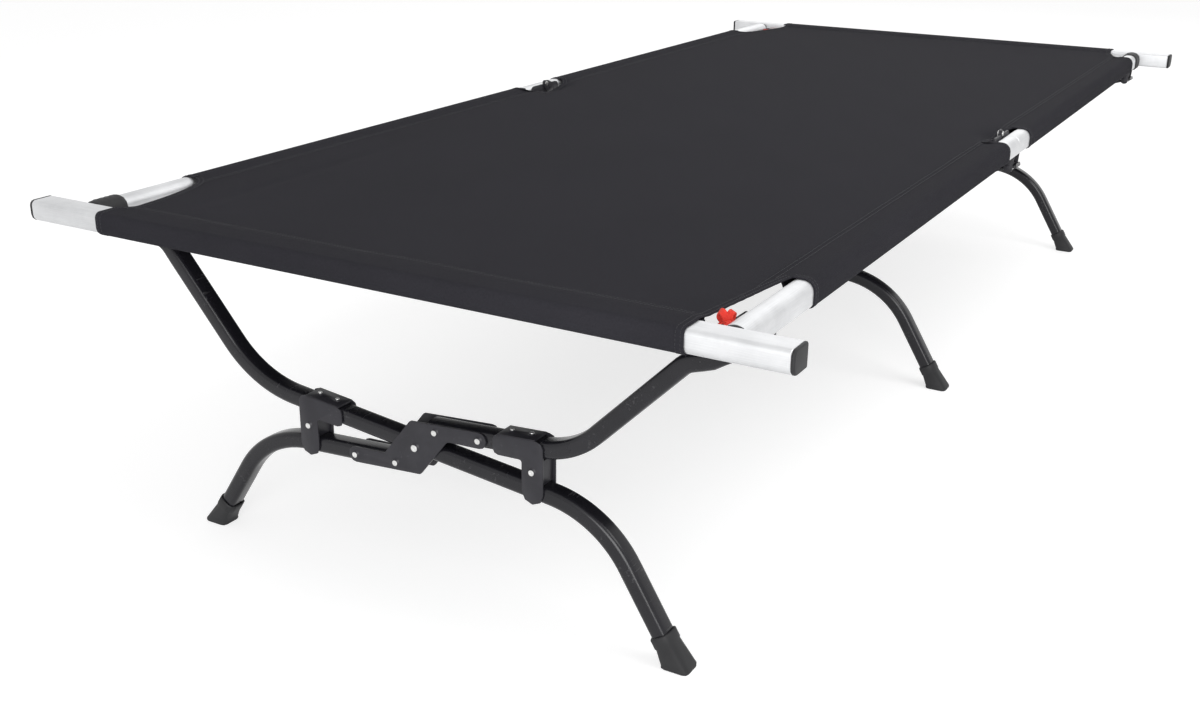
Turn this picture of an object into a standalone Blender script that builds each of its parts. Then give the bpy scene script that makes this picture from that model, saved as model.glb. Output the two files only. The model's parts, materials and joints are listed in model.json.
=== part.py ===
"""Folding camp cot: hinged aluminium rails, end bars, canvas bed and three scissor leg sets.

Metres, +Z up, X across the bed, Y along it with the foot end at -Y.
The origin is on the floor under the middle of the bed.
"""

import math

import bmesh
import bpy
from mathutils import Matrix, Vector

# Top frame
BED_HEIGHT = 0.458          # floor to the top of the rails and end bars
RAIL_X = 0.442              # middle of a rail from the bed's middle line
RAIL_SIZE = 0.029           # rail width and height
RAIL_WALL = 0.0016
BAR_Y = 1.0627              # middle of an end bar from the fold line
BAR_OVERHANG = 0.077        # end bar past a rail's middle
BAR_LENGTH = 2 * (RAIL_X + BAR_OVERHANG)
BAR_DEPTH = 0.034
BAR_HEIGHT = 0.0274
BAR_WALL = 0.0016
CAP_THICK = 0.004
STEM_LENGTH = 0.013         # plugs' stems in the rails, clear of the hangers' rivets
CLEARANCE = 0.0003          # between pieces that touch
FIT = 0.0004                # round pins and shanks in their holes

# Mid-rail hinges
PIN_RISE = 0.0022           # hinge pin above the rail tops, clear of the folded sleeves
HINGE_PIN_RADIUS = 0.003
LEAF_LENGTH = 0.046
LEAF_THICK = 0.0025
KNUCKLE_RADIUS = 0.0055

# Corner hardware
FITTING_LENGTH = 0.042
FITTING_WALL = 0.0018
FITTING_RIB = 0.0028
PEG_RADIUS = 0.006
PEG_LENGTH = 0.012
ARM_WIDTH = 0.014
ARM_THICK = 0.004
ARM_PIVOT_FROM_BAR = 0.074

# Canvas
CLOTH = 0.0012
SLEEVE_GAP = 0.0004         # sleeve bore to the metal in it
CANVAS_SAG = 0.007
FOLD_GAP = 0.0003           # each half of the canvas to the fold line
NOTCH_HALF = 0.064          # bare rail each side of the fold line
NOTCH_DEPTH = 0.0095        # and how far past the rail's inner side the cloth is cut back
BAR_SLEEVE_REACH = {
    (-1, -1): RAIL_X - 0.044, (-1, 1): RAIL_X - 0.037,
    (1, -1): RAIL_X - 0.059, (1, 1): RAIL_X - 0.047,
}
# Corner cut-aways by (end, side): where the rail's sleeve stops from the fold line, the cloth's
# inner edge from the middle line, and how hollow the cut is (0 straight, 1 a quarter ellipse).
CORNER_CUTS = {
    (-1, -1): (BAR_Y - 0.1787, RAIL_X - 0.054, 1.0),
    (-1, 1): (BAR_Y - 0.1887, RAIL_X - 0.038, 0.4),
    (1, -1): (BAR_Y - 0.1837, RAIL_X - 0.068, 0.8),
    (1, 1): (BAR_Y - 0.1027, RAIL_X - 0.047, 0.6),
}

# Leg sets, as (name, place along the bed)
LEG_SETS = (("foot_end", 0.0977 - BAR_Y), ("middle", 0.034), ("head_end", BAR_Y - 0.0367))
HUB_Z = 0.199
LEG_PIVOT_X = RAIL_X - 0.004
LEG_PIVOT_Z = BED_HEIGHT - 0.055
TUBE_HEIGHT = 0.022
TUBE_DEPTH = 0.025
TUBE_CORNER = 0.006
TUBE_WALL = 0.0016
FLAT_THICK = 0.006          # crushed end of a leg tube
FLAT_DEPTH = 0.030
S_SLOPE = math.radians(6.4)       # S leg where it crosses the hub
LOWER_BEND = 0.140                # radius of the bends down to the feet
# The steep stretches follow the bed's height: slope times the rise from their corner to the pivot, as drawn
S_UPPER_SLOPE = math.atan(math.tan(math.radians(49.8)) * (LEG_PIVOT_Z - HUB_Z - 0.0292) / (0.204 - 0.0292))
# Radius of the bends up to the rails; a steeper stretch bends tighter, so that the bend reaches as far
UPPER_BEND = 0.155 * math.tan(math.radians(21.7)) / math.tan((S_UPPER_SLOPE - S_SLOPE) / 2)
S_LOWER_SLOPE = math.radians(58.5)
S_UPPER_CORNER = LEG_PIVOT_X - 0.1778           # where the S leg's straight lines would meet, from the hub
S_LOWER_CORNER = LEG_PIVOT_X - 0.1836
HALF_SLOPE = math.radians(3.6)    # half legs where they lie in the hub plates
HALF_OFFSET = 0.027               # half legs above or below the hub at their inner rivets
HALF_UPPER_CORNER = LEG_PIVOT_X - 0.2223
HALF_UPPER_SLOPE = math.atan((LEG_PIVOT_Z - HUB_Z - 0.0387) / (0.204 - 0.0387))
HALF_UPPER_BEND = 0.115 * math.tan(math.radians(20.7)) / math.tan((HALF_UPPER_SLOPE - HALF_SLOPE) / 2)
HALF_LOWER_CORNER = LEG_PIVOT_X - 0.1877
HALF_LOWER_SLOPE = math.radians(56.5)
HALF_INNER_END = 0.018            # half leg's cut end from the hub
FLARE_BEND = 0.030
FLARE_SLOPE = math.radians(17)

# Hub plates and their rivets
PLATE_THICK = 0.0025
RIVET_INNER_X = 0.0305
RIVET_OUTER_X = 0.0935
RIVET_RADIUS = 0.0035
RIVET_HEAD = 0.0062
RIVET_DOME = 0.0026
HUB_RIVET_RADIUS = 0.0045

# Saddle brackets
SADDLE_X = 0.168            # stop rivet from the hub
SADDLE_THICK = 0.0022
SADDLE_LEG_WIDTH = 0.029
SADDLE_ARM = 0.050
SADDLE_BELOW = 0.003        # cheeks below the lower leg

# Moulded shoes on the legs
SHOE_LENGTH = 0.046
SHOE_WALL = 0.003
SHOE_PAD = 0.036
SHOE_PAD_DEPTH = 0.031
SHOE_SOLE = 0.006
TUBE_END_Z = 0.014          # a leg tube's middle at its cut end in the shoe

# Hangers
HANGER_THICK = 0.0025
HANGER_WIDTH = 0.016
HANGER_PIN_RADIUS = 0.0035
HANGER_RIVET = 0.003        # radius of its rivet in the rail's underside

RAIL_Z = BED_HEIGHT - RAIL_SIZE / 2
BAR_Z = BED_HEIGHT - BAR_HEIGHT / 2
BAR_FACE = BAR_Y - BAR_DEPTH / 2
PIN_Z = BED_HEIGHT + PIN_RISE

for old in list(bpy.data.objects):
    bpy.data.objects.remove(old, do_unlink=True)


def finish(name, colour, roughness, metallic=0.0):
    """A plain finish with the part's own colour."""
    material = bpy.data.materials.new(name)
    material.use_nodes = True
    shader = material.node_tree.nodes["Principled BSDF"]
    shader.inputs["Base Color"].default_value = (*colour, 1)
    shader.inputs["Roughness"].default_value = roughness
    shader.inputs["Metallic"].default_value = metallic
    return material


SILVER = finish("satin_aluminium", (0.76, 0.77, 0.78), 0.38, 1.0)
COATED = finish("black_powder_coat", (0.012, 0.012, 0.013), 0.32)
PLATE = finish("grey_black_plate", (0.035, 0.035, 0.038), 0.45)
RUBBER = finish("black_moulding", (0.016, 0.016, 0.017), 0.6)
CANVAS = finish("black_canvas", (0.018, 0.018, 0.02), 0.85)
WEBBING = finish("red_webbing", (0.55, 0.02, 0.015), 0.75)
ZINC = finish("zinc_plated_steel", (0.6, 0.6, 0.6), 0.3, 1.0)


def joint_empty(name, place, parent=None):
    """An empty on a joint's axis, for the pieces that turn or slide there."""
    empty = bpy.data.objects.new(name, None)
    empty.empty_display_size = 0.05
    bpy.context.collection.objects.link(empty)
    empty["place"] = tuple(place)
    put_under(empty, place, parent)
    return empty


def put_under(obj, place, parent):
    """Set an object down at a world place, under a parent that is only moved, never turned."""
    obj.parent = parent
    base = Vector(parent["place"]) if parent else Vector((0, 0, 0))
    obj.location = Vector(place) - base


def piece(name, mesh, material, place, parent=None, smooth=35):
    """A named piece from a mesh in world coordinates, with its origin at place."""
    mesh.transform(Matrix.Translation(-Vector(place)))
    mesh.materials.append(material)
    mesh.shade_smooth()
    mesh.set_sharp_from_angle(angle=math.radians(smooth))
    obj = bpy.data.objects.new(name, mesh)
    bpy.context.collection.objects.link(obj)
    obj["place"] = tuple(place)
    put_under(obj, place, parent)
    return obj


def mesh_from(bm):
    """A mesh of the bmesh, with its faces turned outwards."""
    bmesh.ops.recalc_face_normals(bm, faces=bm.faces)
    mesh = bpy.data.meshes.new("shape")
    bm.to_mesh(mesh)
    bm.free()
    return mesh


def loft(rings, closed_ends=True):
    """A skin through rings of points, all with as many points."""
    bm = bmesh.new()
    loops = [[bm.verts.new(p) for p in ring] for ring in rings]
    for first, second in zip(loops, loops[1:]):
        count = len(first)
        for k in range(count):
            bm.faces.new((first[k], first[(k + 1) % count], second[(k + 1) % count], second[k]))
    if closed_ends:
        bm.faces.new(reversed(loops[0]))
        bm.faces.new(loops[-1])
    return mesh_from(bm)


def hollow_loft(outer, inner, open_first, open_last):
    """A tube wall: an outer and an inner skin, joined by a rim at each open end, capped at a shut one."""
    bm = bmesh.new()
    skins = []
    for rings in (outer, inner):
        loops = [[bm.verts.new(p) for p in ring] for ring in rings]
        for first, second in zip(loops, loops[1:]):
            count = len(first)
            for k in range(count):
                bm.faces.new((first[k], first[(k + 1) % count], second[(k + 1) % count], second[k]))
        skins.append(loops)
    for end, is_open in ((0, open_first), (-1, open_last)):
        out, inn = skins[0][end], skins[1][end]
        if is_open:
            count = len(out)
            for k in range(count):
                bm.faces.new((out[k], out[(k + 1) % count], inn[(k + 1) % count], inn[k]))
        else:
            bm.faces.new(out)
            bm.faces.new(inn)
    return mesh_from(bm)


def extrude_outline(outline, low, high, axis="Y"):
    """A slab of the outline's shape between two places along an axis."""
    place = {
        "X": lambda a, b, t: (t, a, b),
        "Y": lambda a, b, t: (a, t, b),
        "Z": lambda a, b, t: (a, b, t),
    }[axis]
    return loft([[place(a, b, t) for a, b in outline] for t in (low, high)])


def arc(centre, radius, start, end, steps):
    """Points on an arc, from one angle in degrees to the other."""
    angles = [math.radians(start + (end - start) * k / steps) for k in range(steps + 1)]
    return [(centre[0] + radius * math.cos(a), centre[1] + radius * math.sin(a)) for a in angles]


def rounded_outline(width, height, radius, steps=2, centre=(0, 0)):
    """A rectangle with round corners."""
    points = []
    for sx, sy, start in ((1, 1, 0), (-1, 1, 90), (-1, -1, 180), (1, -1, 270)):
        middle = (centre[0] + sx * (width / 2 - radius), centre[1] + sy * (height / 2 - radius))
        points += arc(middle, radius, start, start + 90, steps)
    return points


def fillet_outline(corners, steps=3):
    """An outline with its corners rounded. Each corner is (a, b, radius)."""
    points = []
    count = len(corners)
    for k, (a, b, radius) in enumerate(corners):
        here = Vector((a, b))
        to_last = (Vector(corners[k - 1][:2]) - here).normalized()
        to_next = (Vector(corners[(k + 1) % count][:2]) - here).normalized()
        if radius <= 0:
            points.append((a, b))
            continue
        half = to_last.angle(to_next) / 2
        middle = here + (to_last + to_next).normalized() * radius / math.sin(half)
        foot = here + to_last * radius / math.tan(half)
        start = math.atan2(*(foot - middle).yx)
        sweep = math.pi - 2 * half
        turn = 1 if to_last.cross(to_next) < 0 else -1
        for n in range(steps + 1):
            angle = start + turn * sweep * n / steps
            points.append((middle.x + radius * math.cos(angle), middle.y + radius * math.sin(angle)))
    return points


def rod(start, end, radius, sides=12):
    """A round bar between two points."""
    start, end = Vector(start), Vector(end)
    turn = (end - start).to_track_quat("Z", "Y").to_matrix()
    rings = []
    for place in (start, end):
        ring = []
        for k in range(sides):
            angle = 2 * math.pi * k / sides
            ring.append(place + turn @ Vector((radius * math.cos(angle), radius * math.sin(angle), 0)))
        rings.append(ring)
    return loft(rings)


def turned(start, direction, profile, sides=12):
    """A turned piece: rings of (distance along the direction, radius)."""
    turn = Vector(direction).to_track_quat("Z", "Y").to_matrix()
    rings = []
    for along, radius in profile:
        ring = []
        for k in range(sides):
            angle = 2 * math.pi * k / sides
            offset = Vector((radius * math.cos(angle), radius * math.sin(angle), along))
            ring.append(Vector(start) + turn @ offset)
        rings.append(ring)
    return loft(rings)


def joined(meshes):
    """Several meshes put into one, still as separate bodies."""
    bm = bmesh.new()
    for mesh in meshes:
        bm.from_mesh(mesh)
    result = bpy.data.meshes.new("joined")
    bm.to_mesh(result)
    bm.free()
    return result


def combine(obj, mesh, operation):
    """A live Boolean of an object with a mesh in world coordinates, kept as a wire guide."""
    guide = bpy.data.objects.new(f"{obj.name}.{operation.lower()}.{len(obj.modifiers)}", mesh)
    bpy.context.collection.objects.link(guide)
    guide.display_type = "WIRE"
    guide.hide_render = True
    change = obj.modifiers.new(operation.title(), "BOOLEAN")
    change.operation = operation
    change.solver = "EXACT"
    change.object = guide
    return obj


def cut(obj, *meshes):
    return combine(obj, joined(meshes), "DIFFERENCE")


def add(obj, *meshes):
    return combine(obj, joined(meshes), "UNION")


def rail_outline(side, grow=0.0):
    """A rail's section: round over the top, nearly square below."""
    half = RAIL_SIZE / 2 + grow
    x = side * RAIL_X
    return fillet_outline((
        (x + half, RAIL_Z - half, 0.005 + grow),
        (x + half, RAIL_Z + half, 0.0125 + grow),
        (x - half, RAIL_Z + half, 0.0125 + grow),
        (x - half, RAIL_Z - half, 0.005 + grow),
    ))


def bar_outline(end, grow=0.0):
    """An end bar's section: flat on top and inside, bulging outwards."""
    inner = end * (BAR_FACE - grow)
    outer = end * (BAR_Y + BAR_DEPTH / 2 + grow)
    low, high = BED_HEIGHT - BAR_HEIGHT - grow, BED_HEIGHT + grow
    return fillet_outline((
        (inner, low, 0.003 + grow),
        (outer, low, 0.010 + grow),
        (outer, high, 0.0065 + grow),
        (inner, high, 0.003 + grow),
    ))


def along(outline, axis, place):
    """An outline as a ring of points across an axis."""
    if axis == "Y":
        return [(a, place, b) for a, b in outline]
    return [(place, a, b) for a, b in outline]


def rivet(place, direction, grip, radius=RIVET_RADIUS, head=RIVET_HEAD):
    """A domed rivet: its head stands on place, and its shank runs back through the grip."""
    profile = ((-grip, radius), (0, radius), (0, head), (RIVET_DOME, head * 0.6))
    return turned(place, direction, profile, 8)


def side_rail(name, side, end, parent, place):
    """One half of a side rail, from its end plug or fitting to the fold line."""
    far = end * (BAR_FACE - CLEARANCE - CAP_THICK - CLEARANCE)
    near = end * CLEARANCE
    outer = [along(rail_outline(side), "Y", y) for y in (near, far)]
    inner = [along(rail_outline(side, -RAIL_WALL), "Y", y) for y in (near, far)]
    rail = piece(name, hollow_loft(outer, inner, True, True), SILVER, place, parent)
    return rail


def inner_face(side, into=0.0):
    """The place across the bed of a rail's inner side, moved towards the middle of the bed."""
    return side * (RAIL_X - RAIL_SIZE / 2 - into)


def wall_hole(place, direction, radius):
    """A cutter for a hole through one wall of a rail or bar."""
    direction = Vector(direction)
    start = Vector(place) - direction * 0.003
    return rod(start, Vector(place) + direction * 0.006, radius, 10)


LEAF_RIVET_Y = 0.032
LEAF_LOW = RAIL_Z - 0.0095
LEAF_HIGH = PIN_Z - 0.0009
LEAF_ROOT = 0.0085          # where the rear leaf starts from the fold line, clear of the knuckle
LEAF_RIVET_Z = RAIL_Z - 0.0015


def hinge_leaf_outline(end, start):
    """A leaf in (along the bed, height), with the knuckle that stands up round the pin."""
    reach = end * LEAF_LENGTH
    corners = [
        (reach, LEAF_LOW, 0.005),
        (reach, LEAF_HIGH, 0.009),
        (end * KNUCKLE_RADIUS, LEAF_HIGH, 0),
        (end * KNUCKLE_RADIUS, PIN_Z + KNUCKLE_RADIUS, 0.0045),
        (-end * KNUCKLE_RADIUS, PIN_Z + KNUCKLE_RADIUS, 0.0045),
        (-end * KNUCKLE_RADIUS, PIN_Z - KNUCKLE_RADIUS, 0.0045),
        (end * start, PIN_Z - KNUCKLE_RADIUS, 0),
        (end * start, LEAF_LOW, 0.003),
    ]
    return fillet_outline(corners, 3)


def hinge_leaf(name, side, end, layer, parent, place):
    """A leaf on a rail's inner side. The rear leaf's knuckle steps over the front leaf's."""
    start = 0.0006
    near = inner_face(side, CLEARANCE)
    far = inner_face(side, CLEARANCE + LEAF_THICK)
    if layer == 0:
        mesh = extrude_outline(hinge_leaf_outline(end, start), near, far, "X")
        leaf = piece(name, mesh, PLATE, place, parent)
    else:
        root = [
            (end * LEAF_ROOT, LEAF_LOW, 0.003), (end * LEAF_LENGTH, LEAF_LOW, 0.005),
            (end * LEAF_LENGTH, LEAF_HIGH, 0.009), (end * LEAF_ROOT, LEAF_HIGH, 0),
        ]
        step_near = inner_face(side, 2 * CLEARANCE + LEAF_THICK)
        step_far = inner_face(side, 2 * CLEARANCE + 2 * LEAF_THICK)
        leaf = piece(name, extrude_outline(fillet_outline(root), near, far, "X"), PLATE, place, parent)
        ear = fillet_outline((
            (-end * KNUCKLE_RADIUS, PIN_Z - KNUCKLE_RADIUS, 0.0045),
            (end * 0.010, LEAF_LOW, 0.002),
            (end * 0.022, LEAF_LOW, 0.002),
            (end * 0.022, LEAF_HIGH, 0.003),
            (end * KNUCKLE_RADIUS, PIN_Z + KNUCKLE_RADIUS, 0.0045),
            (-end * KNUCKLE_RADIUS, PIN_Z + KNUCKLE_RADIUS, 0.0045),
        ), 3)
        weld = [
            (end * 0.0095, LEAF_LOW + 0.001), (end * 0.0215, LEAF_LOW + 0.001),
            (end * 0.0215, LEAF_HIGH - 0.001), (end * 0.0095, LEAF_HIGH - 0.001),
        ]
        middle = (inner_face(side, 0.0012), inner_face(side, 0.0012 + LEAF_THICK))
        add(leaf, extrude_outline(ear, step_near, step_far, "X"))
        add(leaf, extrude_outline(weld, *middle, "X"))
    cut(leaf, rod((near + side * 0.01, 0, PIN_Z), (far - side * 0.01, 0, PIN_Z), HINGE_PIN_RADIUS + FIT))
    head_at = (inner_face(side, CLEARANCE + LEAF_THICK - 0.0002), end * LEAF_RIVET_Y, LEAF_RIVET_Z)
    add(leaf, rivet(head_at, (-side, 0, 0), LEAF_THICK + 0.004, 0.0028, 0.0056))
    return leaf


def hinge_pin(name, side, parent, place):
    """A headed pin through both knuckles of a side's hinge."""
    inner = 2 * CLEARANCE + 2 * LEAF_THICK + CLEARANCE
    start = (inner_face(side, inner + 0.0012), 0, PIN_Z)
    length = inner + 0.0012
    profile = (
        (0, 0.0046), (0.0012, 0.0046), (0.0012, HINGE_PIN_RADIUS),
        (length - 0.0001, HINGE_PIN_RADIUS), (length - 0.0001, 0.0042), (length + 0.0010, 0.0042),
    )
    return piece(name, turned(start, (side, 0, 0), profile, 12), ZINC, place, parent)


def corner_fitting(name, side, end, parent, place):
    """A ribbed collar over the rail's end, with a plug in the rail and a peg for the end bar."""
    face = BAR_FACE - CLEARANCE
    steps = [(face, 0.001), (face - 0.003, FITTING_WALL)]
    pitch = 0.0085
    for k in range(4):
        start = face - 0.006 - k * pitch
        steps += [(start, FITTING_WALL), (start - pitch / 2, FITTING_RIB)]
    steps += [(face - FITTING_LENGTH + 0.0015, FITTING_WALL), (face - FITTING_LENGTH, 0.001)]
    outer = [along(rail_outline(side, grow), "Y", end * y) for y, grow in steps]
    inner = [along(rail_outline(side, CLEARANCE), "Y", end * y)
             for y in (face - CAP_THICK, face - FITTING_LENGTH)]
    fitting = piece(name, hollow_loft(outer, inner, False, True), RUBBER, place, parent)
    plug = [along(rail_outline(side, -RAIL_WALL - CLEARANCE), "Y", end * y)
            for y in (face - CAP_THICK + 0.001, face - STEM_LENGTH)]
    add(fitting, loft(plug))
    root = (side * RAIL_X, end * (face - 0.001), BAR_Z)
    peg = ((0, PEG_RADIUS), (PEG_LENGTH - 0.001, PEG_RADIUS), (PEG_LENGTH + 0.001, PEG_RADIUS - 0.002))
    add(fitting, turned(root, (0, end, 0), peg, 12))
    for _, y in LEG_SETS:
        if y * end > 0 and under_fitting(side, y):
            cut(fitting, rail_floor_hole(side, y))
    return fitting


def rail_plug(name, side, end, parent, place):
    """A flush plug that closes the rail's end against the end bar."""
    face = BAR_FACE - CLEARANCE
    head = [along(rail_outline(side, grow), "Y", end * y)
            for y, grow in ((face, -0.001), (face - 0.001, 0), (face - CAP_THICK, 0))]
    plug = piece(name, loft(head), RUBBER, place, parent)
    stem = [along(rail_outline(side, -RAIL_WALL - CLEARANCE), "Y", end * y)
            for y in (face - CAP_THICK + 0.001, face - STEM_LENGTH)]
    return add(plug, loft(stem))


def end_bar(name, end, parent, place):
    """A hollow end bar, with a hole in its inner face for the ribbed fitting's peg."""
    reach = BAR_LENGTH / 2 - CAP_THICK - CLEARANCE
    outer = [along(bar_outline(end), "X", x) for x in (-reach, reach)]
    inner = [along(bar_outline(end, -BAR_WALL), "X", x) for x in (-reach, reach)]
    bar = piece(name, hollow_loft(outer, inner, True, True), SILVER, place, parent)
    hole = wall_hole((end * RAIL_X, end * BAR_FACE, BAR_Z), (0, end, 0), PEG_RADIUS + FIT)
    return cut(bar, hole)


def bar_cap(name, side, end, parent, place):
    """A moulded cap with a stem in the bar's end."""
    tip = BAR_LENGTH / 2
    head = [along(bar_outline(end, grow), "X", side * x)
            for x, grow in ((tip, -0.0015), (tip - 0.0012, 0), (tip - CAP_THICK, 0))]
    cap = piece(name, loft(head), RUBBER, place, parent)
    stem = [along(bar_outline(end, -BAR_WALL - CLEARANCE), "X", side * x)
            for x in (tip - CAP_THICK + 0.001, tip - 0.018)]
    return add(cap, loft(stem))


ARM_STANDOFF = 0.003
ARM_Z = RAIL_Z - 0.003
ARM_SHANK_RADIUS = 0.004
ARM_SLOT = (0.0125, 0.0034)     # strap slot, along the arm and across it
ARM_SLOT_FROM_TIP = 0.014


def arm_pivot(side, end):
    return (inner_face(side), end * (BAR_FACE - ARM_PIVOT_FROM_BAR), ARM_Z)


def pivot_arm(name, side, end, parent, place):
    """A flat lever on the rail's inner side, with a slot near its tip for the pull loop."""
    _, y, z = arm_pivot(side, end)
    half = ARM_WIDTH / 2
    back = y - end * half
    tip = end * (BAR_FACE - 2 * CLEARANCE)
    near = inner_face(side, ARM_STANDOFF)
    far = inner_face(side, ARM_STANDOFF + ARM_THICK)
    outline = fillet_outline((
        (back, z - half, half * 0.98), (back, z + half, half * 0.98),
        (tip, z + half + 0.001, half * 0.9), (tip, z - half, half * 0.9),
    ), 4)
    arm = piece(name, extrude_outline(outline, near, far, "X"), COATED, place, parent)
    boss = turned((inner_face(side, CLEARANCE), y, z), (-side, 0, 0),
                  ((0, 0.0065), (ARM_STANDOFF + 0.001, 0.0065)), 12)
    add(arm, boss)
    head_at = (far + side * 0.0002, y, z)
    add(arm, rivet(head_at, (-side, 0, 0), ARM_STANDOFF + ARM_THICK + 0.004, ARM_SHANK_RADIUS, 0.007))
    middle = tip - end * ARM_SLOT_FROM_TIP
    slot = rounded_outline(*ARM_SLOT, ARM_SLOT[1] * 0.45, 2, (middle, z + 0.0015))
    cut(arm, extrude_outline(slot, near + side * 0.01, far - side * 0.01, "X"))
    return arm


def pull_strap(name, side, end, parent, place):
    """A folded webbing loop through the arm's slot and over its top edge."""
    tip = end * (BAR_FACE - 2 * CLEARANCE)
    middle = tip - end * ARM_SLOT_FROM_TIP
    width = ARM_SLOT[0] - 0.002
    z = ARM_Z + 0.0015
    near = RAIL_X - RAIL_SIZE / 2 - ARM_STANDOFF
    outer = fillet_outline((
        (near + 0.0022, z - 0.0010, 0.0009), (near + 0.0022, z + 0.0105, 0.0009),
        (near - 0.0005, z + 0.023, 0.006), (near - 0.0165, z + 0.025, 0.006),
        (near - ARM_THICK - 0.0075, z + 0.008, 0.006), (near - ARM_THICK - 0.0024, z - 0.0010, 0.0012),
    ), 2)
    inner = fillet_outline((
        (near + 0.0004, z + 0.0008, 0.0003), (near + 0.0004, z + 0.0100, 0.0003),
        (near - 0.0023, z + 0.0212, 0.0045), (near - 0.0150, z + 0.0230, 0.0045),
        (near - ARM_THICK - 0.0059, z + 0.0086, 0.0045), (near - ARM_THICK - 0.0006, z + 0.0008, 0.0003),
    ), 2)
    outer = [(side * x, h) for x, h in outer]
    inner = [(side * x, h) for x, h in inner]
    low, high = middle - width / 2, middle + width / 2
    rings = [[(x, y, h) for x, h in ring] for ring, y in (
        (outer, low), (outer, high), (inner, high), (inner, low), (outer, low))]
    bm = bmesh.new()
    loops = [[bm.verts.new(p) for p in ring] for ring in rings[:4]]
    loops.append(loops[0])
    for first, second in zip(loops, loops[1:]):
        count = len(first)
        for k in range(count):
            bm.faces.new((first[k], first[(k + 1) % count], second[(k + 1) % count], second[k]))
    return piece(name, mesh_from(bm), WEBBING, place, parent)


BEND_ERROR = 0.0008        # how far the flats of a bend may lie inside its true arc


def bent_path(corners):
    """A bent tube's middle line, as (across, height, slope), from corners with bend radii."""
    stations = []
    last = len(corners) - 1
    for k, (x, z, radius) in enumerate(corners):
        here = Vector((x, z))
        if k == 0 or k == last:
            ahead = Vector(corners[k + 1][:2]) - here if k == 0 else here - Vector(corners[k - 1][:2])
            stations.append((x, z, math.atan2(ahead.y, ahead.x)))
            continue
        before = (here - Vector(corners[k - 1][:2])).normalized()
        after = (Vector(corners[k + 1][:2]) - here).normalized()
        first, second = math.atan2(before.y, before.x), math.atan2(after.y, after.x)
        turn = (second - first + math.pi) % (2 * math.pi) - math.pi
        reach = radius * math.tan(abs(turn) / 2)
        side = 1 if turn > 0 else -1
        start = here - before * reach
        middle = start + Vector((-before.y, before.x)) * side * radius
        steps = max(2, round(abs(turn) / (2 * math.acos(1 - BEND_ERROR / radius))))
        for n in range(steps + 1):
            angle = first + turn * n / steps
            point = middle - Vector((-math.sin(angle), math.cos(angle))) * side * radius
            stations.append((point.x, point.y, angle))
    return stations


def tube_ring(station, y, height, depth, corner):
    """A leg tube's section, square to its middle line."""
    x, z, angle = station
    up = Vector((-math.sin(angle), 0, math.cos(angle)))
    points = rounded_outline(depth, height, corner, 2)
    return [Vector((x, y + a, z)) + up * b for a, b in points]


def leg_tube(name, stations, y, crushed, parent, place):
    """A bent leg tube. With a crushed end, the tube closes flat over its first two stations."""
    outer, inner = [], []
    for k, station in enumerate(stations):
        height, depth, corner = TUBE_HEIGHT, TUBE_DEPTH, TUBE_CORNER
        if crushed and k < 2:
            height, depth, corner = FLAT_THICK, FLAT_DEPTH, FLAT_THICK * 0.4
        elif crushed and k == 2:
            height, depth, corner = 0.014, 0.028, 0.005
        outer.append(tube_ring(station, y, height, depth, corner))
        if not crushed or k > 2:
            inner.append(tube_ring(station, y, height - 2 * TUBE_WALL, depth - 2 * TUBE_WALL,
                                   corner - TUBE_WALL * 0.8))
    return piece(name, hollow_loft(outer, inner, not crushed, True), COATED, place, parent)


def s_line(x):
    """Height of the S leg's middle stretch at a place across the bed, from the left leg's hub."""
    return HUB_Z - math.tan(S_SLOPE) * x


def half_line(x):
    """Height of the half legs' middle line at a place across the bed: upper to the right, lower to the left."""
    side = 1 if x > 0 else -1
    return HUB_Z + side * (HALF_OFFSET + math.tan(HALF_SLOPE) * (abs(x) - RIVET_INNER_X))


def flare_corner(side, foot, slope):
    """Where the steep stretch from a point meets the flared end that runs to the rail pivot."""
    rise, run = math.tan(slope), math.tan(FLARE_SLOPE)
    x, z = abs(foot[0]), foot[1]
    # the steep line z + rise * (s - x) meets the flare LEG_PIVOT_Z - run * (LEG_PIVOT_X - s)
    s = (LEG_PIVOT_Z - run * LEG_PIVOT_X - z + rise * x) / (rise - run)
    return (side * s, z + rise * (s - x), FLARE_BEND)


def end_stations(side):
    """The crushed end: at the eye, and part way along the flare."""
    run = math.tan(FLARE_SLOPE)
    points = []
    for back in (-0.012, 0.026):
        points.append((side * (LEG_PIVOT_X - back), LEG_PIVOT_Z - back * run))
    return points


def upper_arm_path(side, corner, bend, slope, inner):
    """An upper arm from its eye under the rail down to a point near the hub."""
    foot = (side * abs(corner[0]), corner[1])
    flare = flare_corner(side, foot, slope)
    eye, knee = end_stations(side)
    path = bent_path([(*eye, 0), flare, (*foot, bend), (*inner, 0)])
    heading = path[0][2]
    return [path[0], (*knee, heading)] + path[1:]


def foot_path(side, corner, slope):
    """The last corner of a lower arm and its cut end in the shoe."""
    run = 1 / math.tan(slope)
    x_end = abs(corner[0]) + (corner[1] - TUBE_END_Z) * run
    return [(*corner, LOWER_BEND), (side * x_end, TUBE_END_Z, 0)]


def s_leg(name, y, parent, place):
    """One continuous tube, from the left rail through the hub to the right foot."""
    upper = (-S_UPPER_CORNER, s_line(-S_UPPER_CORNER))
    lower = (S_LOWER_CORNER, s_line(S_LOWER_CORNER))
    arm = upper_arm_path(-1, upper, UPPER_BEND, S_UPPER_SLOPE, (0, HUB_Z))
    leg = bent_path([(0, HUB_Z, 0)] + foot_path(1, lower, S_LOWER_SLOPE))
    tube = leg_tube(name, arm[:-1] + leg[1:], y, True, parent, place)
    tube = leg_eye(tube, -1, y)
    shank = HUB_RIVET_RADIUS + FIT
    return cut(tube, rod((0, y - 0.02, HUB_Z), (0, y + 0.02, HUB_Z), shank, 12))


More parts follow.
